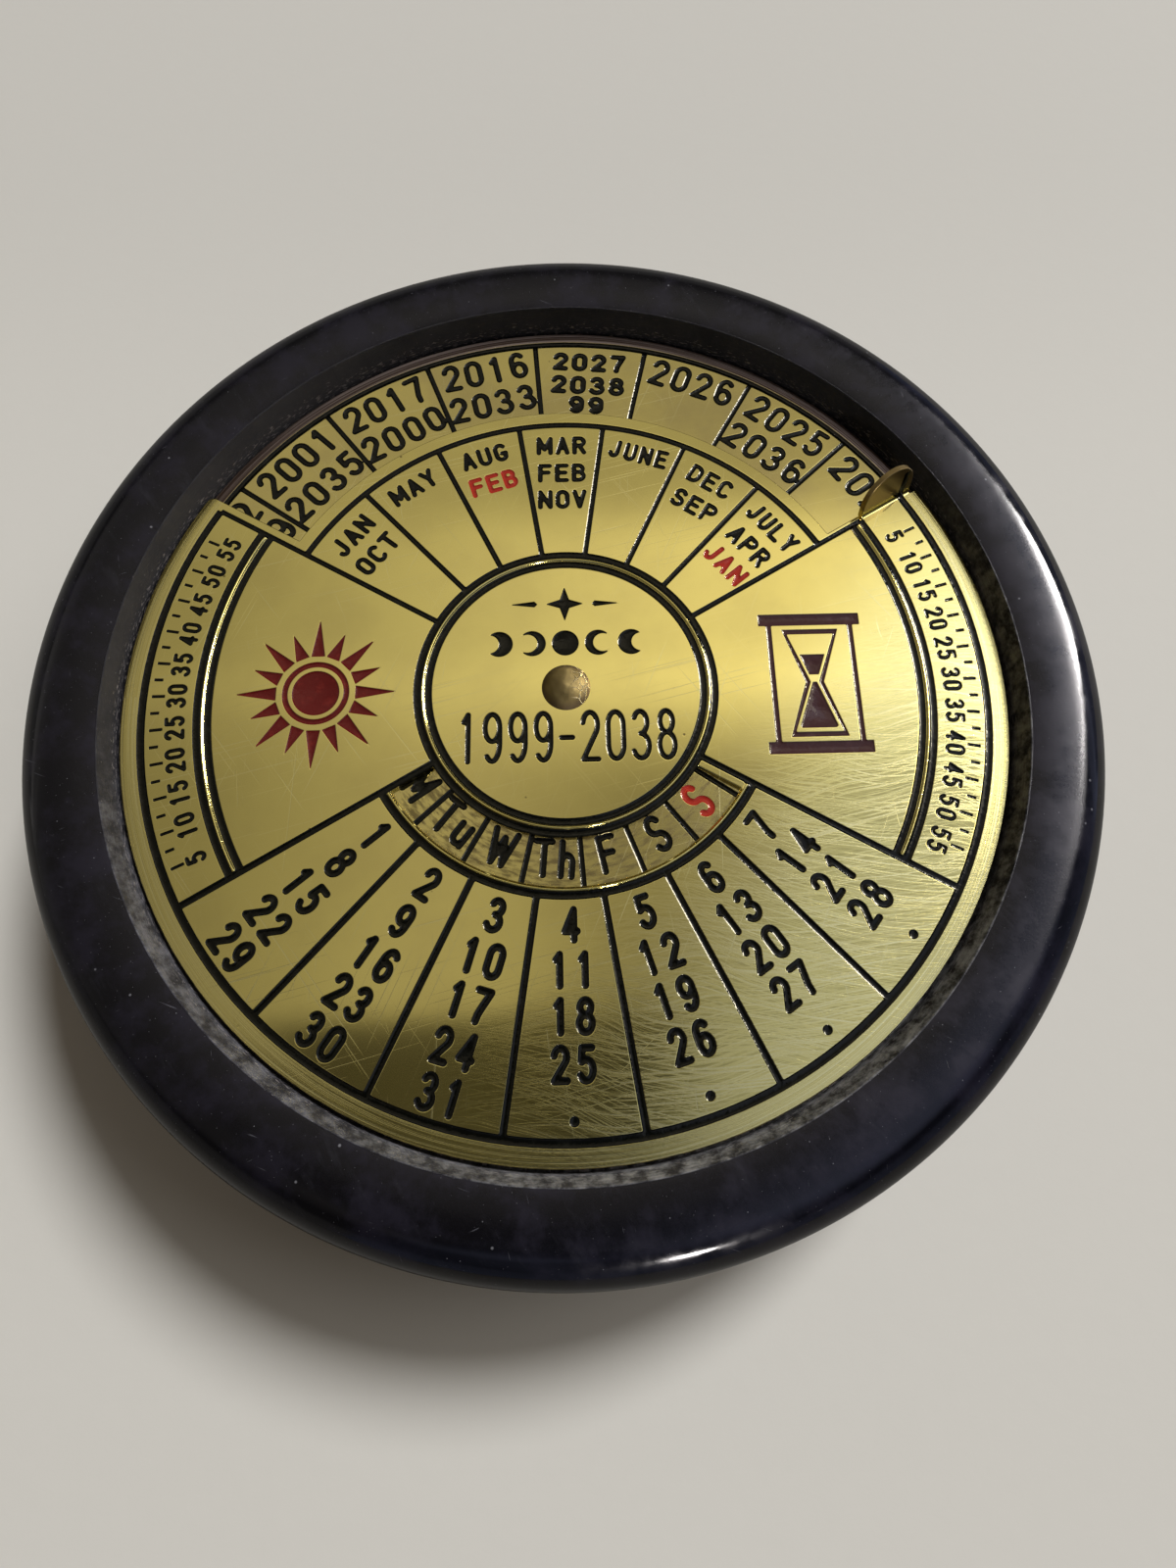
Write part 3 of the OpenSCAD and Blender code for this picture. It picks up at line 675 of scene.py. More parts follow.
class Relief:
    """A plate drafted flat: the distances to its edge and to its inlays, and whose each is."""

    def __init__(self, node, low, face, inlays, look, beads=(), fold=None):
        self.low, self.face, self.look = low, face, look
        self.inlays, self.beads, self.fold = inlays, beads, fold
        draft = self.draft = Draft(PLATE_R + BEYOND)
        metal = draft.filled(outlines(node, low))
        if fold:
            metal = np.minimum(metal, draft.filled([fold.outline()]))
        self.metal = self.exact(metal, 0)
        fields = np.array([self.inlay_field(*inlay[2:]) for inlay in inlays])
        self.owner = fields.argmin(axis=0)
        self.inlaid = self.exact(fields.min(axis=0) - self.shave(), SEAM) + SEAM

    def shave(self):
        """How far the enamel spreads at each point of the grid: only beside the beads."""
        at = self.draft.low + np.arange(self.draft.n) * self.draft.step
        points = np.stack(np.meshgrid(at, at), axis=2).reshape(-1, 2)
        spread_by = np.zeros(len(points))
        for r, middle, half in self.beads:
            beside = np.abs(np.hypot(*points.T) - r) < BEAD_REACH
            spread_by[beside & (off_angle(points, middle) < half)] = BEAD_SHAVE
        return spread_by.reshape(self.draft.n, self.draft.n)

    def exact(self, field, level):
        """The exact distance to where a rougher field crosses a level."""
        return self.draft.signed(self.draft.contours(field, level), field < level)

    def inlay_field(self, nodes, strokes, pen):
        field = self.draft.blank()
        for node in nodes:
            on_tab = node == "tab_line_enamel"
            loops = [self.fold.line()] if on_tab else outlines(node, top_of(node))
            field = np.minimum(field, self.draft.filled(loops))
        if strokes:
            self.draft.near(field, np.concatenate([s[:-1] for s in strokes]),
                            np.concatenate([s[1:] for s in strokes]), pen / 2)
        return field

    def brass_height(self, points):
        """Height and slopes of the brass: a rounded lip beside each inlay and cut edge, the
        grooves under the enamel, and a bead along each strip between two grooves."""
        look = self.look
        d = self.draft.sample(self.inlaid, points)
        e = -self.draft.sample(self.metal, points)
        lip = 1 - np.clip(d / look.lip_width, 0, 1)
        edge = 1 - np.clip(e / EDGE_WIDTH, 0, 1)
        fall = (GROOVE - look.lip_drop) * np.clip(-d / WALL, 0, 1)
        z = self.face - look.lip_drop * lip ** 2 - EDGE_DROP * edge ** 2 - fall
        slope_d = 2 * look.lip_drop * lip / look.lip_width * (d > -WALL / 2)
        slope_e = 2 * EDGE_DROP * edge / EDGE_WIDTH
        slope = (slope_d[:, None] * self.draft.slope(self.inlaid, points)
                 - slope_e[:, None] * self.draft.slope(self.metal, points))
        rho = np.hypot(*points.T)
        for r, middle, half in self.beads:
            x = np.clip((rho - r) / BEAD_HALF, -1, 1)
            left = np.radians(half - off_angle(points, middle)) * r
            height = look.bead_height * np.clip(left / BEAD_END, 0, 1)
            z += height * (1 - x ** 2)
            steep = -2 * height * x * (np.abs(x) < 1) / BEAD_HALF
            slope += (steep / np.maximum(rho, 1))[:, None] * points
        return z, slope[:, 0], slope[:, 1]

    def enamel_height(self, points):
        """Height and slopes of the enamel, which shrank to a hollow between its edges."""
        look = self.look
        d = self.draft.sample(self.inlaid, points)
        t = np.clip(1 + d / look.hollow_width, 0, 1)
        z = self.face - look.lip_drop - LOW_EDGE - look.hollow_depth * (1 - t ** 2)
        slope = (2 * look.hollow_depth * t / look.hollow_width)[:, None]
        slope = slope * self.draft.slope(self.inlaid, points)
        return z, slope[:, 0], slope[:, 1]

    def mesh_of(self, rings, edge_rings, lines=()):
        loops = [l for level in rings for l in self.draft.contours(self.inlaid, level)]
        loops += [l for level in edge_rings for l in self.draft.contours(self.metal, level)]
        if self.fold:
            lines = list(lines) + self.fold.crease_lines()
        points, faces = triangulate(loops, lines)
        middles = points[faces].mean(axis=1)
        inside = self.draft.sample(self.metal, middles) < 0
        return points, faces[inside], middles[inside]

    def bead_lines(self):
        lines = []
        for r, middle, half in self.beads:
            for offset in (-BEAD_HALF / 3, 0, BEAD_HALF / 3):
                count = round(half * BEAD_POINTS)
                angles = np.radians(np.linspace(middle - half, middle + half, count))
                lines.append((r + offset) * np.column_stack([np.sin(angles), np.cos(angles)]))
        return lines

    def brass(self, name):
        points, faces, _ = self.mesh_of(LIP_RINGS, EDGE_RINGS, self.bead_lines())
        return solid(name, points, faces, self.brass_height, self.low, self.fold)

    def enamels(self):
        """Each inlay's name, slot, replaced nodes and piece."""
        points, faces, middles = self.mesh_of(ENAMEL_RINGS, (0.0,))
        hollow = self.draft.sample(self.inlaid, middles) < 0
        at = np.rint((middles - self.draft.low) / self.draft.step).astype(int)
        owner = self.owner[at[:, 1], at[:, 0]]
        for i, (name, finish, nodes, _, _) in enumerate(self.inlays):
            piece = solid(name, points, faces[hollow & (owner == i)], self.enamel_height,
                          self.face - GROOVE, self.fold)
            yield name, finish, nodes, piece


# ---- turned pieces ----

def corner(x, z, r, start, end, steps):
    """Points round part of a circle in a section."""
    return [(x + r * math.cos(a), z + r * math.sin(a))
            for a in np.radians(np.linspace(start, end, steps))]


def lumps(point, coarse, fine, share):
    """Uneven ground from two sizes of noise, the finer one with a share of the height."""
    return noise.noise(Vector(point) * coarse) + share * noise.noise(Vector(point) * fine)


def turned(name, profile, around, wear=None, sharp=35):
    """A closed piece turned about the Z axis; profile runs from the axis back to it. Wear
    moves each point: it takes and gives an array of points."""
    profile = np.array(profile)
    angles = np.arange(around) * 2 * math.pi / around
    ring = np.stack([np.outer(profile[1:-1, 0], np.cos(angles)),
                     np.outer(profile[1:-1, 0], np.sin(angles)),
                     np.outer(profile[1:-1, 1], np.ones(around))], axis=2).reshape(-1, 3)
    co = np.concatenate([ring, [(0, 0, profile[0, 1]), (0, 0, profile[-1, 1])]])
    if wear:
        co = wear(co)
    rows = len(profile) - 2
    at = np.arange(around)
    after = (at + 1) % around
    faces = []
    for row in range(rows - 1):
        a, b = row * around, (row + 1) * around
        faces += np.column_stack([a + at, a + after, b + after, b + at]).tolist()
    faces += np.column_stack([np.full(around, rows * around), after, at]).tolist()
    last = (rows - 1) * around
    faces += np.column_stack([np.full(around, rows * around + 1), last + at, last + after]).tolist()
    mesh = smooth_mesh(name, co, faces)
    mesh.set_sharp_from_angle(angle=math.radians(sharp))
    return place(name, mesh)


# ---- materials ----

# Which output of a node is which
ON_OBJECT, ON_WORLD = 3, 0       # of the texture coordinates
SEEN_RAY, GLOSSY_RAY = 0, 3      # of the light path
NOISE_COLOUR, MIXED_COLOUR = 1, 2


class Nodes:
    """Short ways to build the shader of a material or a world. A plain colour has three parts,
    and lengths are in millimetres on the object."""

    def __init__(self, owner):
        owner.use_nodes = True
        self.owner, self.tree = owner, owner.node_tree
        self.tree.nodes.clear()

    def add(self, kind, inputs=(), out=0, **settings):
        node = self.tree.nodes.new("ShaderNode" + kind)
        for key, value in settings.items():
            setattr(node, key, value)
        for key, value in dict(inputs).items():
            if isinstance(value, bpy.types.NodeSocket):
                self.tree.links.new(value, node.inputs[key])
            else:
                node.inputs[key].default_value = value
        return node.outputs[out] if len(node.outputs) else None

    def math(self, operation, a, b=0.0, c=0.0):
        return self.add("Math", {0: a, 1: b, 2: c}, operation=operation)

    def chain(self, operation, first, *others):
        """One operation on two values, and again on the result and each further value."""
        for other in others:
            first = self.math(operation, first, other)
        return first

    def highest(self, *values):
        return self.chain("MAXIMUM", *values)

    def product(self, *values):
        return self.chain("MULTIPLY", *values)

    def total(self, base, *parts):
        """A base plus some values, each times its share."""
        for value, share in parts:
            base = self.math("MULTIPLY_ADD", value, share, base)
        return base

    def mix(self, factor, a, b):
        a, b = (c if isinstance(c, bpy.types.NodeSocket) else (*c, 1) for c in (a, b))
        return self.add("Mix", {0: factor, 6: a, 7: b}, out=MIXED_COLOUR, data_type="RGBA")

    def paint(self, tint, *coats):
        """A colour under some others: each coat is a mask, its strength and its colour."""
        for mask, strength, colour in coats:
            tint = self.mix(self.product(mask, strength), tint, colour)
        return tint

    def mix_number(self, factor, a, b):
        return self.add("Mix", {0: factor, 2: a, 3: b})

    def fade(self, value, start, end, low=0.0, high=1.0):
        return self.add("MapRange", {0: value, 1: start, 2: end, 3: low, 4: high},
                        interpolation_type="SMOOTHSTEP")

    def place_mm(self):
        return self.add("VectorMath", {0: self.add("TexCoord", out=ON_OBJECT), "Scale": 1 / MM},
                        operation="SCALE")

    def stretch(self, vector, size, turn=0.0):
        """Coordinates in units of a size along X, Y and Z, turned about Z by some degrees."""
        return self.add("Mapping", {"Vector": vector, "Rotation": (0, 0, math.radians(turn)),
                                    "Scale": size}, vector_type="TEXTURE")

    def split(self, vector):
        return self.add("SeparateXYZ", {0: vector}).node.outputs

    def waved(self, vector, size, reach):
        """The same place shifted by up to a reach, smoothly over a size."""
        shift = self.add("TexNoise", {"Vector": vector, "Scale": 1 / size, "Detail": 1.0},
                         out=NOISE_COLOUR)
        return self.add("VectorMath", {0: shift, 1: (reach,) * 3, 2: vector},
                        operation="MULTIPLY_ADD")

    def noise(self, vector, scale, detail=2.0, rough=0.5):
        return self.add("TexNoise", {"Vector": vector, "Scale": scale, "Detail": detail,
                                     "Roughness": rough})

    def specks(self, vector, scale, size):
        """1 in small round spots, 0 elsewhere."""
        cell = self.add("TexVoronoi", {"Vector": vector, "Scale": scale})
        return self.fade(cell, size, size * 0.4)

    def bump(self, height, distance):
        return self.add("Bump", {"Height": height, "Distance": distance * MM, "Strength": 1.0})

    def finish(self, **inputs):
        """Makes the surface, and gives the material that now has it."""
        inputs = {key.replace("_", " "): value for key, value in inputs.items()}
        self.add("OutputMaterial", {0: self.add("BsdfPrincipled", inputs)})
        return self.owner


def finish(name):
    """A new material's node builder, and the place on the object in millimetres."""
    n = Nodes(bpy.data.materials.new(name))
    return n, n.place_mm()


def hairlines(n, at, *rows):
    """Fine scratches: 1 on a scratch. Each row has their angle, their spacing, how much of the
    face they take and how long they are."""
    fields = []
    for turn, spacing, share, long in rows:
        field = n.noise(n.stretch(at, (long, spacing, long), turn), 1.0, 2.0, 0.6)
        fields.append(n.fade(field, 0.72 - share, 0.78 - share))
    return n.highest(*fields)


def polar(n, mm):
    """Radius and angle about the pivot, and the height."""
    x, y, z = n.split(mm)
    r = n.math("SQRT", n.math("ADD", n.math("POWER", x, 2.0), n.math("POWER", y, 2.0)))
    return r, n.math("ARCTAN2", y, x), z


def turned_grain(n, r, angle, across, along, detail=3.0):
    """Noise drawn out round the pivot: its size across the rings in mm, and along them in
    radians."""
    at = n.add("CombineXYZ", {0: n.math("DIVIDE", r, across), 1: n.math("DIVIDE", angle, along)})
    return n.noise(at, 1.0, detail, 0.65)


def brass_finish(name, colour, dull, roughness, margin, dirt):
    """Polished brass: cloudy tarnish, wiped scratches, dense wavy ones to the lower right and
    brown specks. The scratches are painted paler, partly as bare metal and partly as a painted
    highlight of the light they scatter. The tab is painted dark brown, as painted shade on its
    face, which turns from the light. Margin is the radius of the brushed edge, its colour,
    streaks and roughness; dirt is how much brown has gathered in streaks round the hub."""
    n, mm = finish(name)
    x, y, z = n.split(mm)
    r, angle, _ = polar(n, mm)
    margin_r, margin_colour, margin_streak, margin_rough = margin
    cloud = n.noise(mm, 0.11, 4.0, 0.6)
    fine = n.noise(mm, 2.2, 3.0, 0.6)
    wavy = n.waved(mm, 14.0, 6.0)
    lower_right = n.fade(n.math("SUBTRACT", x, y), 16.0, 40.0)
    rubbed = n.fade(n.noise(mm, 0.07, 2.0), 0.42, 0.6)
    woven = n.highest(n.noise(n.stretch(wavy, (13.0, 0.1, 13.0), -13), 1.0, 3.0, 0.7),
                      n.noise(n.stretch(wavy, (9.0, 0.12, 9.0), 5), 1.0, 3.0, 0.7))
    dense = n.product(n.fade(woven, 0.5, 0.66), lower_right)
    between = n.product(n.fade(woven, 0.53, 0.43), lower_right)
    wiped = n.highest(hairlines(n, mm, (14, 0.16, 0.08, 20.0), (66, 0.2, 0.06, 20.0),
                                (127, 0.2, 0.05, 20.0)),
                      hairlines(n, wavy, (96, 0.14, 0.04, 6.0)))
    deep = hairlines(n, mm, (88, 0.3, -0.02, 60.0), (41, 0.3, -0.02, 40.0))
    lines = n.highest(dense, n.product(wiped, n.total(0.2, (rubbed, 0.6))), deep)
    pits = n.specks(mm, 0.22, 0.035)
    ring = n.fade(turned_grain(n, r, angle, 0.11, 1.2), 0.4, 0.72)
    edge = n.fade(r, margin_r - 0.1, margin_r + 0.1)
    raised = n.fade(z, DIAL_FACE + 0.35, DIAL_FACE + 0.9)
    # Painted highlight: scratch lines are painted paler, most of all to the lower right, partly as
    # bare metal and partly as the light they scatter
    tint = n.paint(n.mix(n.fade(cloud, 0.35, 0.7), colour, dull),
                   (between, 0.5, (0.42, 0.34, 0.1)), (lines, 0.55, (0.97, 0.86, 0.42)),
                   (pits, 0.7, (0.12, 0.07, 0.03)))
    tint = n.mix(edge, tint, n.mix(ring, margin_colour, margin_streak))
    # Painted shade: the tab is painted dark brown for its face, which turns from the light
    tint = n.paint(tint, (raised, 0.9, (0.19, 0.12, 0.05)))
    gloss = n.total(roughness, (cloud, 0.05), (lines, 0.13))
    gloss = n.mix_number(edge, gloss, n.total(margin_rough, (ring, 0.1)))
    gloss = n.total(gloss, (raised, 0.25))
    height = n.total(n.product(fine, 0.1), (lines, -0.5), (n.product(ring, edge), -0.9),
                     (pits, -1.0))
    if dirt:
        streaks = n.fade(turned_grain(n, r, angle, 0.5, 0.12), 0.4, 0.66)
        streaks = n.product(streaks, n.fade(r, 18.6, 17.8), dirt)
        tint = n.mix(streaks, tint, (0.11, 0.07, 0.035))
        gloss = n.total(gloss, (streaks, 0.25))
    return n.finish(Base_Color=tint, Metallic=1.0, Roughness=gloss, Normal=n.bump(height, 0.004))


def enamel_finish(name, colour, pale):
    """Glossy enamel, slightly wavy, with dust and paler worn patches."""
    n, mm = finish(name)
    patch = n.fade(n.noise(mm, 0.9, 4.0, 0.6), 0.52, 0.75)
    dust = n.specks(mm, 2.6, 0.045)
    tint = n.paint(colour, (patch, 0.4, pale), (dust, 0.25, (0.3, 0.27, 0.2)))
    height = n.noise(mm, 1.6, 3.0, 0.55)
    return n.finish(Base_Color=tint, Roughness=n.total(0.05, (patch, 0.12)), IOR=1.34,
                    Specular_Tint=(1.0, 0.9, 0.65, 1.0), Normal=n.bump(height, 0.04))


def stone_finish(name, colour):
    """Polished black stone: bluish clouds and smudges, pale specks, scratches and a fine
    sparkle. The cut wall of the recess is matt, grey and streaked, and chipped at its foot; it is
    painted lighter towards the right and the bottom, as painted light reflected from the brass,
    and darker towards the top and left."""
    n, mm = finish(name)
    r, angle, z = polar(n, mm)
    x, y, _ = n.split(mm)
    wall = n.product(n.fade(r, PLATE_R + 0.95, PLATE_R + 0.85),
                     n.fade(z, FELT_TOP + 2, FELT_TOP + 4))
    cloud = n.fade(n.noise(mm, 0.22, 6.0, 0.66), 0.42, 0.66)
    vein = n.fade(n.noise(n.stretch(mm, (1.0, 4.0, 1.7), 31), 0.5, 6.0, 0.7), 0.54, 0.76)
    grain = n.noise(mm, 3.5, 4.0, 0.7)
    spots = n.highest(n.specks(mm, 0.35, 0.05), n.specks(mm, 0.9, 0.05), n.specks(mm, 2.4, 0.07))
    nicks = hairlines(n, mm, (24, 0.25, -0.01, 2.5), (101, 0.22, -0.01, 2.5),
                      (158, 0.25, -0.02, 3.5))
    tint = n.paint(colour, (cloud, 0.9, (0.0065, 0.0055, 0.0105)),
                   (vein, 0.4, (0.02, 0.0195, 0.025)), (spots, 0.65, (0.2, 0.2, 0.22)),
                   (nicks, 0.35, (0.12, 0.12, 0.14)))
    streak = turned_grain(n, z, angle, 0.12, 0.07, 5.0)
    # Painted light: the wall's streaks are mottled, and lighter towards the bottom and right and
    # darker towards the top and left
    blotch_and_painted_light = n.product(n.fade(n.noise(mm, 0.7, 5.0, 0.7), 0.35, 0.7),
                       n.fade(n.total(y, (x, -0.3)), 12.0, -8.0, 0.06, 1.0))
    foot = n.fade(z, DIAL_FACE + 0.8, DIAL_FACE - 0.1)
    chips = n.fade(n.total(turned_grain(n, z, angle, 0.15, 0.018), (foot, 0.12)), 0.66, 0.74)
    # Painted light: the cut wall is painted paler towards the right, for light that the brass throws
    # on it
    pale = n.mix(n.fade(x, -28.0, 15.0), (0.17, 0.17, 0.195), (0.38, 0.38, 0.39))
    cut_face = n.mix(n.product(streak, blotch_and_painted_light), (0.007, 0.007, 0.009), pale)
    tint = n.mix(wall, tint, n.paint(cut_face, (chips, 0.5, (0.3, 0.27, 0.27))))
    dull = n.fade(r, CROWN_R + 1.2, CROWN_R + 0.4)
    gloss = n.total(0.06, (n.total(0.13, (grain, 0.14)), dull), (n.highest(cloud, vein), 0.12),
                    (nicks, 0.15), (wall, 0.6))
    height = n.total(n.product(grain, n.total(0.15, (dull, 0.5))), (nicks, -0.5),
                     (n.product(streak, wall), 6.0))
    return n.finish(Base_Color=tint, Roughness=gloss, IOR=1.4,
                    Specular_Tint=(1.0, 0.93, 0.9, 1.0), Normal=n.bump(height, 0.01))


def felt_finish(name, colour):
    """Pressed felt: tangled fibres, with painted shade between them."""
    n, mm = finish(name)
    shift = n.add("TexNoise", {"Vector": mm, "Scale": 0.9}, out=NOISE_COLOUR)
    warp = n.add("VectorMath", {0: mm, 1: shift}, operation="ADD")
    tangle = n.highest(n.noise(n.stretch(warp, (1.0, 0.14, 0.33), 35), 2.4, 4.0, 0.7),
                       n.noise(n.stretch(warp, (0.14, 1.0, 0.33), 12), 2.1, 4.0, 0.7))
    # Painted shade: the tint is darker between the fibres
    tint = n.mix(n.fade(tangle, 0.45, 0.75), [c * 0.45 for c in colour],
                 [min(1, c * 1.8 + 0.01) for c in colour])
    return n.finish(Base_Color=tint, Roughness=0.95, Normal=n.bump(tangle, 0.15),
                    Sheen_Weight=0.5, Sheen_Roughness=0.6)


def rivet_finish(name, colour):
    """Brass gone brown and smooth, darker round the edge, with cracks on one side."""
    n, mm = finish(name)
    patch = n.noise(mm, 0.5, 3.0, 0.55)
    crack = n.add("TexVoronoi", {"Vector": n.waved(mm, 1.5, 1.0), "Scale": 1.1},
                  feature="DISTANCE_TO_EDGE")
    crack = n.product(n.fade(crack, 0.05, 0.0), n.fade(n.split(mm)[0], 0.3, 1.1))
    tint = n.mix(n.fade(patch, 0.45, 0.7), colour, (0.31, 0.23, 0.09))
    tint = n.mix(n.fade(polar(n, mm)[0], 1.35, 2.0), tint, (0.12, 0.085, 0.045))
    tint = n.paint(tint, (crack, 0.7, (0.7, 0.6, 0.38)))
    height = n.total(n.noise(mm, 1.4, 4.0, 0.6), (crack, 2.0))
    return n.finish(Base_Color=tint, Metallic=1.0, Roughness=n.total(0.52, (patch, 0.2)),
                    Normal=n.bump(height, 0.03))


def plain_finish(name, colour, metallic, roughness, grain):
    """A hidden piece's finish: slightly uneven in tone and surface."""
    n, mm = finish(name)
    mottle = n.noise(mm, grain, 4.0, 0.6)
    return n.finish(Base_Color=n.mix(mottle, [c * 0.75 for c in colour], colour),
                    Metallic=metallic, Roughness=n.total(roughness, (mottle, 0.2)),
                    Normal=n.bump(mottle, 0.05))


# ---- settings that a user changes ----

def length(name, what, default, low, high):
    """A length on the plates, in millimetres."""
    return bpy.props.FloatProperty(name=name, description=what + ", in mm", default=default,
                                   min=low, max=high, precision=3)


def tone(name, what, default):
    return bpy.props.FloatVectorProperty(name=name, description="Colour of the " + what, size=3,
                                         default=default, min=0.0, max=1.0, subtype="COLOR")


class CalendarRelief(bpy.types.PropertyGroup):
    """Shapes of the engraving, in millimetres."""

    lip_width: length("Lip width", "Width of the rounding beside each inlay", 0.06, 0.03, 0.2)
    lip_drop: length("Lip drop", "Depth of that rounding", 0.004, 0.0, 0.12)
    bead_height: length("Bead height", "Height of the raised beads", 0.17, 0.0, 0.18)
    hollow_width: length("Hollow width", "Width of the enamel's curved edge", 0.25, 0.1, 0.4)
    hollow_depth: length("Hollow depth", "Depth of the hollow in the enamel", 0.08, 0.0, 0.14)


class CalendarColours(bpy.types.PropertyGroup):
    """Colours of the pieces."""

    dial: tone("Dial brass", "brass dial", (0.88, 0.71, 0.205))
    dial_dull: tone("Dial tarnish", "dial where it is tarnished", (0.8, 0.64, 0.19))
    disc: tone("Disc brass", "brass year disc", (0.82, 0.655, 0.2))
    disc_dull: tone("Disc tarnish", "year disc where it is tarnished", (0.66, 0.52, 0.185))
    rivet: tone("Rivet", "darkened rivet", (0.2, 0.145, 0.055))
    stone: tone("Stone", "black stone", (0.0012, 0.001, 0.0018))
    felt: tone("Felt", "felt pad", (0.03, 0.08, 0.05))
    black: tone("Black enamel", "black enamel", (0.0012, 0.0014, 0.001))
    bright_red: tone("Red enamel", "red names", (0.30, 0.02, 0.012))
    dark_red: tone("Dark red enamel", "left motif", (0.085, 0.006, 0.006))
    dark_brown: tone("Brown enamel", "right motif", (0.045, 0.018, 0.02))


class CalendarStage(bpy.types.PropertyGroup):
    """The floor and the light."""

    floor: tone("Floor", "floor", (0.6, 0.585, 0.545))
    key: bpy.props.FloatProperty(name="Lamps", description="Power that each lamp has a share of",
                                 default=8.8, min=0.0, unit="POWER")
    room: bpy.props.FloatProperty(name="Room light", description="Strength of the room's light",
                                  default=1.0, min=0.0)


# ---- operators ----

FINISHES = {}
# Each enamel: its colour's name, its material and the colour of its worn patches
ENAMELS = [("black", "black_enamel_finish", (0.012, 0.012, 0.01)),
           ("bright_red", "red_enamel_finish", (0.45, 0.04, 0.025)),
           ("dark_red", "dark_red_finish", (0.2, 0.02, 0.015)),
           ("dark_brown", "dark_brown_finish", (0.1, 0.05, 0.055))]


def dress(piece, slot_name, material):
    """Puts a piece's material on. The slot's name is not used."""
    piece.data.materials.clear()
    piece.data.materials.append(material)


def enamels_of(context):
    """The finish of each enamel, made when they are first asked for."""
    if not FINISHES:
        for name, material, pale in ENAMELS:
            colour = getattr(context.scene.calendar_colours, name)
            FINISHES[name + "_enamel"] = enamel_finish(material, colour, pale)
    return FINISHES


def fill_inlays(context, relief, body):
    """Makes a plate's enamel, which rides with the plate."""
    finishes = enamels_of(context)
    for name, finish_name, nodes, piece in relief.enamels():
        if piece is None:
            raise RuntimeError(name + " came out empty")
        dress(piece, RECORD_SLOT.get(finish_name, finish_name), finishes[finish_name])
        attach(piece, body)
        if nodes:
            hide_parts(*nodes)


class CALENDAR_OT_stone(bpy.types.Operator):
    """Turns the polished stone base"""

    bl_idname = "calendar.stone"
    bl_label = "Stone Base"

    outer_round = STONE_R - CROWN_R      # from the crown to the side
    dome_r = 12.0            # dome from the crown to the recess
    inner_round = 0.18       # crisp edge between the dome and the wall of the recess
    wall_lean = 0.4          # how far the wall leans out above the dial
    foot_round = 1.5
    recess_gap = 0.4
    pocket_r = 5.0
    pocket_depth = 2.4

    def section(self):
        foot, crown_x = self.foot_round, STONE_R - self.outer_round
        wall_x = PLATE_R + self.recess_gap
        inner_x = wall_x + self.wall_lean + self.inner_round
        dome_z, inside_r = STONE_TOP - self.dome_r, self.dome_r - self.inner_round
        tangent = math.degrees(math.acos((inner_x - crown_x) / inside_r))
        inner_z = dome_z + inside_r * math.sin(math.radians(tangent))
        pocket_z = GLUE_LOW - self.pocket_depth
        return ([(0, FELT_TOP)]
                + corner(STONE_R - foot, FELT_TOP + foot, foot, -90, 0, 8)
                + corner(crown_x, STONE_TOP - self.outer_round, self.outer_round, 0, 90, 25)
                + corner(crown_x, dome_z, self.dome_r, 90, tangent, 12)[1:]
                + corner(inner_x, inner_z, self.inner_round, tangent, 170, 10)[1:]
                + [(wall_x, DIAL_FACE), (wall_x, GLUE_LOW), (self.pocket_r, GLUE_LOW),
                   (self.pocket_r, pocket_z), (0, pocket_z)])

    def execute(self, context):
        colour = context.scene.calendar_colours.stone
        stone = turned("turned_stone", self.section(), 360)
        dress(stone, "black_stone", stone_finish("black_stone_finish", colour))
        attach(stone, "base")
        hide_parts("stone_base")
        return {"FINISHED"}


class CALENDAR_OT_felt(bpy.types.Operator):
    """Cuts the felt pad, with a soft and uneven edge"""

    bl_idname = "calendar.felt"
    bl_label = "Felt Pad"

    fuzz = 0.12              # how far the edge frays
    edge_width = 1.0         # how far in from the edge
    soft = FELT_TOP * 0.3    # rounding of the edge
    rings = 12               # of points on the underside

    def wear(self, co):
        """Pulls the edge in by uneven amounts."""
        for point in co:
            r = math.hypot(point[0], point[1])
            if r > FELT_R - self.edge_width:
                point[:2] *= 1 - max(0.0, self.fuzz * (0.6 + lumps(point, 1.3, 4, 0.5))) / r
        return co

    def execute(self, context):
        colour = context.scene.calendar_colours.felt
        soft = self.soft
        profile = ([(FELT_R * i / self.rings, 0) for i in range(self.rings)]
                   + corner(FELT_R - soft, soft, soft, -90, 0, 5)
                   + corner(FELT_R - soft, FELT_TOP - soft, soft, 0, 90, 5) + [(0, FELT_TOP)])
        felt = turned("pressed_felt", profile, 420, self.wear)
        dress(felt, "green_felt", felt_finish("green_felt_finish", colour))
        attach(felt, "base")
        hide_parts("felt_pad")
        return {"FINISHED"}


class CALENDAR_OT_hidden(bpy.types.Operator):
    """Finishes the adhesive layer and the washer under the year disc"""

    bl_idname = "calendar.hidden"
    bl_label = "Adhesive and Washer"

    def execute(self, context):
        for node, slot_name, *look in [
                ("adhesive_layer", "adhesive", (0.75, 0.7, 0.55), 0.0, 0.35, 0.4),
                ("tail_washer", "washer_steel", (0.62, 0.62, 0.63), 1.0, 0.35, 2.0)]:
            dress(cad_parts[node], slot_name, plain_finish(node + "_finish", *look))
        return {"FINISHED"}


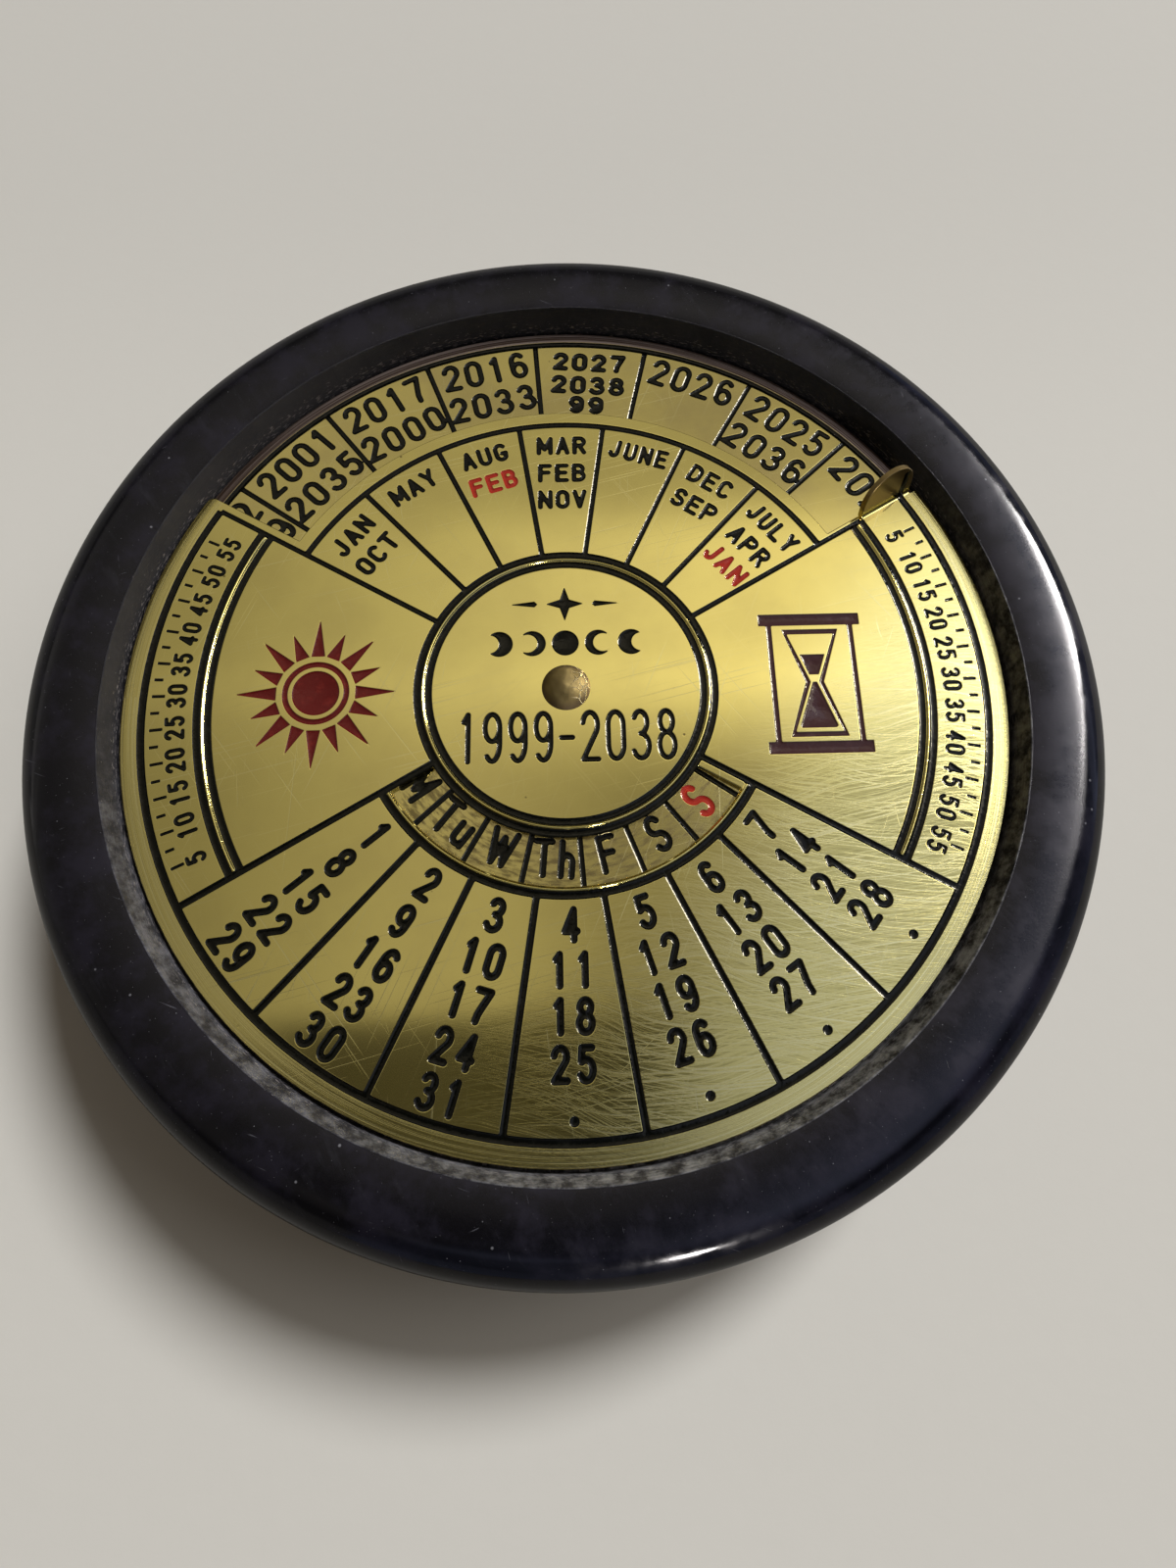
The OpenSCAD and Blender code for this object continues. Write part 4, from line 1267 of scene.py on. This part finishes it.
class CALENDAR_OT_year_disc(bpy.types.Operator):
    """Engraves the year disc and fills it with enamel"""

    bl_idname = "calendar.year_disc"
    bl_label = "Year Disc"

    # The brushed edge: the radius at which it begins, its colour, streaks and roughness
    margin = (PLATE_R - 1.0, (0.13, 0.08, 0.055), (0.7, 0.56, 0.5), 0.32)

    def execute(self, context):
        colours = context.scene.calendar_colours
        relief = Relief("year_disc", DISC_LOW, DISC_FACE, DISC_INLAYS, context.scene.calendar_relief)
        disc = relief.brass("engraved_year_disc")
        dress(disc, "brass_disc", brass_finish("rubbed_brass_finish", colours.disc,
                                               colours.disc_dull, 0.1, self.margin, 0.75))
        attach(disc, "base")
        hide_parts("year_disc")
        fill_inlays(context, relief, "base")
        return {"FINISHED"}


class CALENDAR_OT_dial(bpy.types.Operator):
    """Engraves the turning dial with its thumb tab and fills it with enamel"""

    bl_idname = "calendar.dial"
    bl_label = "Dial"

    margin = (PLATE_R - 1.4, (0.78, 0.63, 0.19), (0.93, 0.8, 0.34), 0.12)
    hub_bead_r = 12.4
    day_bead_r = 17.5
    panel_bead_r = 31.2
    all_round = 181          # more than half a turn
    day_bead_short = 0.5     # degrees by which a bead ends before its block of columns
    panel_bead_short = 0.2

    def execute(self, context):
        colours = context.scene.calendar_colours
        block = WEEKDAYS * CELL_ANGLE / 2        # half the angle that the columns take up
        beads = [(self.hub_bead_r, 0, self.all_round),
                 (self.day_bead_r, DATES_MIDDLE, block - self.day_bead_short),
                 *((self.panel_bead_r, middle, 90 - block - self.panel_bead_short)
                   for middle in BAND_MIDDLES)]
        relief = Relief("dial_plate", DIAL_LOW, DIAL_FACE, DIAL_INLAYS,
                        context.scene.calendar_relief, beads, TabFold())
        dial = relief.brass("engraved_dial")
        dress(dial, "brass_dial", brass_finish("brushed_brass_finish", colours.dial,
                                               colours.dial_dull, 0.07, self.margin, 0))
        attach(dial, "dial")
        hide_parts("dial_plate")
        fill_inlays(context, relief, "dial")
        return {"FINISHED"}


class CALENDAR_OT_rivet(bpy.types.Operator):
    """Forms the worn rivet that the dial turns on"""

    bl_idname = "calendar.rivet"
    bl_label = "Rivet"

    shank_r = 1.2
    tail_r = 2.0
    tail_t = 0.7
    dent = 0.09
    seat = 0.01              # the head's edge is found from this far below the dial's face

    def head_r(self):
        """How wide the frame's rivet is above the dial."""
        co = points_of("rivet")
        return np.hypot(*co[co[:, 2] > DIAL_FACE - self.seat, :2].T).max()

    def wear(self, co):
        """Hammered flats and dents in the head, always inwards."""
        for point in co:
            if point[2] > DIAL_FACE + 0.05:
                flat = max(0.0, 0.35 + lumps(point, 0.9, 2.3, 0.25))
                point[2] -= self.dent * flat * min(1, (point[2] - DIAL_FACE) * 2)
        return co

    def execute(self, context):
        colour = context.scene.calendar_colours.rivet
        head_r = self.head_r()
        head_h = top_of("rivet") - DIAL_FACE
        dome_r = (head_r ** 2 + head_h ** 2) / (2 * head_h)
        half = math.degrees(math.asin(head_r / dome_r))
        low = bottom_of("rivet")
        profile = ([(0, low), (self.tail_r, low), (self.tail_r, low + self.tail_t),
                    (self.shank_r, low + self.tail_t), (self.shank_r, DIAL_FACE)]
                   + corner(0, DIAL_FACE + head_h - dome_r, dome_r, 90 - half, 90, 25))
        rivet = turned("domed_rivet", profile, 96, self.wear, 50)
        dress(rivet, "rivet_brass", rivet_finish("darkened_brass_finish", colour))
        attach(rivet, "dial")
        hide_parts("rivet")
        return {"FINISHED"}


class CALENDAR_OT_stage(bpy.types.Operator):
    """Adds the camera, the floor and soft light"""

    bl_idname = "calendar.stage"
    bl_label = "Stage"

    camera_at = (0.96, -25.78, 80.72)            # millimetres
    camera_turn = (15.24, -0.25, -1.48)          # degrees
    focal_px = 793.6                             # for an image 1200 wide and 1600 high
    image_h = 1600
    film = 36.0
    floor_size = 3.0
    # Each lamp: name, compass angle, elevation, distance and width in metres, share of power,
    # and whether it lights matt surfaces and shows in polished ones
    lights = [("key", 37, 47, 5.0, 1.25, 28.5, True, False),
              ("window", 70, 43, 2.5, 1.25, 1.2, True, True),
              ("glint", 72, 38, 1.0, 0.07, 0.24, False, True),
              ("low", 61, 27, 1.0, 0.3, 1.5, False, True),
              ("front", 166, 23, 0.8, 0.07, 0.2, False, True)]

    def camera(self, scene):
        data = bpy.data.cameras.new("camera")
        data.sensor_width = self.film
        data.lens = self.focal_px / self.image_h * self.film
        data.clip_start = 0.001
        camera = bpy.data.objects.new("camera", data)
        camera.location = Vector(self.camera_at) * MM
        camera.rotation_euler = [math.radians(a) for a in self.camera_turn]
        scene.collection.objects.link(camera)
        scene.camera = camera

    def floor(self, colour):
        half = self.floor_size / 2
        mesh = bpy.data.meshes.new("floor")
        mesh.from_pydata([(-half, -half, 0), (half, -half, 0), (half, half, 0), (-half, half, 0)],
                         [], [(0, 1, 2, 3)])
        floor = place("floor", mesh)
        n, mm = finish("floor_finish")
        grain = n.noise(mm, 0.5, 4.0, 0.6)
        glossy = n.add("LightPath", out=GLOSSY_RAY)
        # Painted shade: mirrors see the floor mostly black
        tint = n.paint(colour, (grain, 0.06, (0.4, 0.4, 0.38)), (glossy, 0.7, (0, 0, 0)))
        # Painted shade: the floor is painted slightly darker towards +Y
        tint = n.mix(n.fade(n.split(mm)[1], 20.0, 90.0, 0.0, 0.1), tint, (0.1, 0.1, 0.1))
        mesh.materials.append(n.finish(Base_Color=tint, Roughness=0.9, Specular_IOR_Level=0.1,
                                       Normal=n.bump(grain, 0.02)))

    def lamps(self, scene, power):
        for name, azimuth, elevation, away, width, share, matt, polish in self.lights:
            data = bpy.data.lights.new(name, "AREA")
            data.shape = "DISK"
            data.size = width
            data.energy = power * share
            light = bpy.data.objects.new(name, data)
            out, _ = compass(azimuth)
            rise = math.radians(elevation)
            light.location = Vector((*(out * math.cos(rise)), math.sin(rise))) * away
            light.rotation_euler = light.location.to_track_quat("Z", "Y").to_euler()
            light.visible_diffuse, light.visible_glossy = matt, polish
            scene.collection.objects.link(light)

    def room(self, scene, strength):
        """A pale room: brightest overhead to the right, dim near the horizon, and dark where
        the viewer stands. Across and along are the slopes of a direction towards +X and +Y.
        Mirrors see it cooler on the right, and the camera sees one pale tone."""
        n = Nodes(bpy.data.worlds.new("room"))
        x, y, z = n.split(n.add("TexCoord", out=ON_WORLD))
        up = n.highest(z, 0.1)
        across, along = n.math("DIVIDE", x, up), n.math("DIVIDE", y, up)
        side = n.product(n.fade(across, -0.75, 0.55, 0.26, 1.05), n.fade(across, 1.6, 0.7, 0.2))
        low = n.fade(across, 0.15, 0.4, 0.32, 0.42)
        near = n.mix_number(n.fade(across, -0.25, 0.12), n.fade(along, 0.25, 0.4, 0.78),
                            n.fade(along, 0.26, 0.42, low))
        depth = n.product(near, n.fade(along, 1.3, 0.65, 0.35))
        band = n.fade(n.math("ABSOLUTE", n.math("SUBTRACT", along, 0.42)), 0.06, 0.0, 1.0, 1.2)
        viewer = n.product(n.fade(along, -0.015, -0.03), n.fade(across, -0.5, -0.33),
                           n.fade(across, 0.2, 0.05), n.fade(along, -1.2, -0.7))
        cool = n.fade(n.total(across, (along, -0.6)), -0.05, 0.3)
        level = n.product(side, depth, band, n.total(1.0, (viewer, -0.85)),
                          n.total(1.0, (cool, 0.55)), n.fade(along, -1.5, -0.5, 0.3))
        far = n.fade(along, 1.5, 1.0, 0.05, 0.4)
        level = n.mix_number(n.fade(along, 0.62, 0.74), level, far)
        level = n.highest(level, n.fade(z, 0.9, 0.5, 0.0, 0.07), n.fade(z, 0.45, 0.2, 0.0, 0.15))
        glossy = n.add("LightPath", out=GLOSSY_RAY)
        level = n.product(level, n.mix_number(glossy, 0.4, 0.96), strength)
        tint = n.mix(cool, (1.0, 0.985, 0.95), (0.87, 1.0, 1.5))
        tint = n.mix(glossy, (1.0, 0.85, 0.68), tint)
        seen = n.add("LightPath", out=SEEN_RAY)
        level, tint = n.mix_number(seen, level, 0.6), n.mix(seen, tint, (1.0, 0.95, 0.88))
        n.add("OutputWorld", {0: n.add("Background", {0: tint, 1: level})})
        scene.world = n.owner

    def execute(self, context):
        scene, stage = context.scene, context.scene.calendar_stage
        scene.view_settings.view_transform = "Standard"
        self.camera(scene)
        self.floor(stage.floor)
        self.lamps(scene, stage.key)
        self.room(scene, stage.room)
        return {"FINISHED"}


PIECES = (CALENDAR_OT_stone, CALENDAR_OT_felt, CALENDAR_OT_hidden, CALENDAR_OT_year_disc,
          CALENDAR_OT_dial, CALENDAR_OT_rivet)


class CALENDAR_PT_panel(bpy.types.Panel):
    """Lists the settings and the pieces"""

    bl_label = "Perpetual Calendar"
    bl_idname = "CALENDAR_PT_panel"
    bl_space_type = "VIEW_3D"
    bl_region_type = "UI"
    bl_category = "Calendar"

    def draw(self, context):
        scene = context.scene
        for group in (scene.calendar_relief, scene.calendar_colours, scene.calendar_stage):
            box = self.layout.box()
            for key in group.bl_rna.properties.keys():
                if key not in ("rna_type", "name"):
                    box.prop(group, key)
        for piece in (CALENDAR_OT_stage, *PIECES):
            self.layout.operator(piece.bl_idname)


SETTINGS = {"calendar_relief": CalendarRelief, "calendar_colours": CalendarColours,
            "calendar_stage": CalendarStage}
CLASSES = (*SETTINGS.values(), CALENDAR_OT_stage, *PIECES, CALENDAR_PT_panel)


def register():
    for part in CLASSES:
        bpy.utils.register_class(part)
    for name, group in SETTINGS.items():
        setattr(bpy.types.Scene, name, bpy.props.PointerProperty(type=group))


def unregister():
    for name in SETTINGS:
        delattr(bpy.types.Scene, name)
    for part in reversed(CLASSES):
        bpy.utils.unregister_class(part)


def main():
    register()
    bpy.ops.calendar.stage()
    bpy.ops.calendar.stone()
    bpy.ops.calendar.felt()
    bpy.ops.calendar.hidden()
    bpy.ops.calendar.year_disc()
    bpy.ops.calendar.dial()
    bpy.ops.calendar.rivet()


if __name__ == "__main__":
    main()
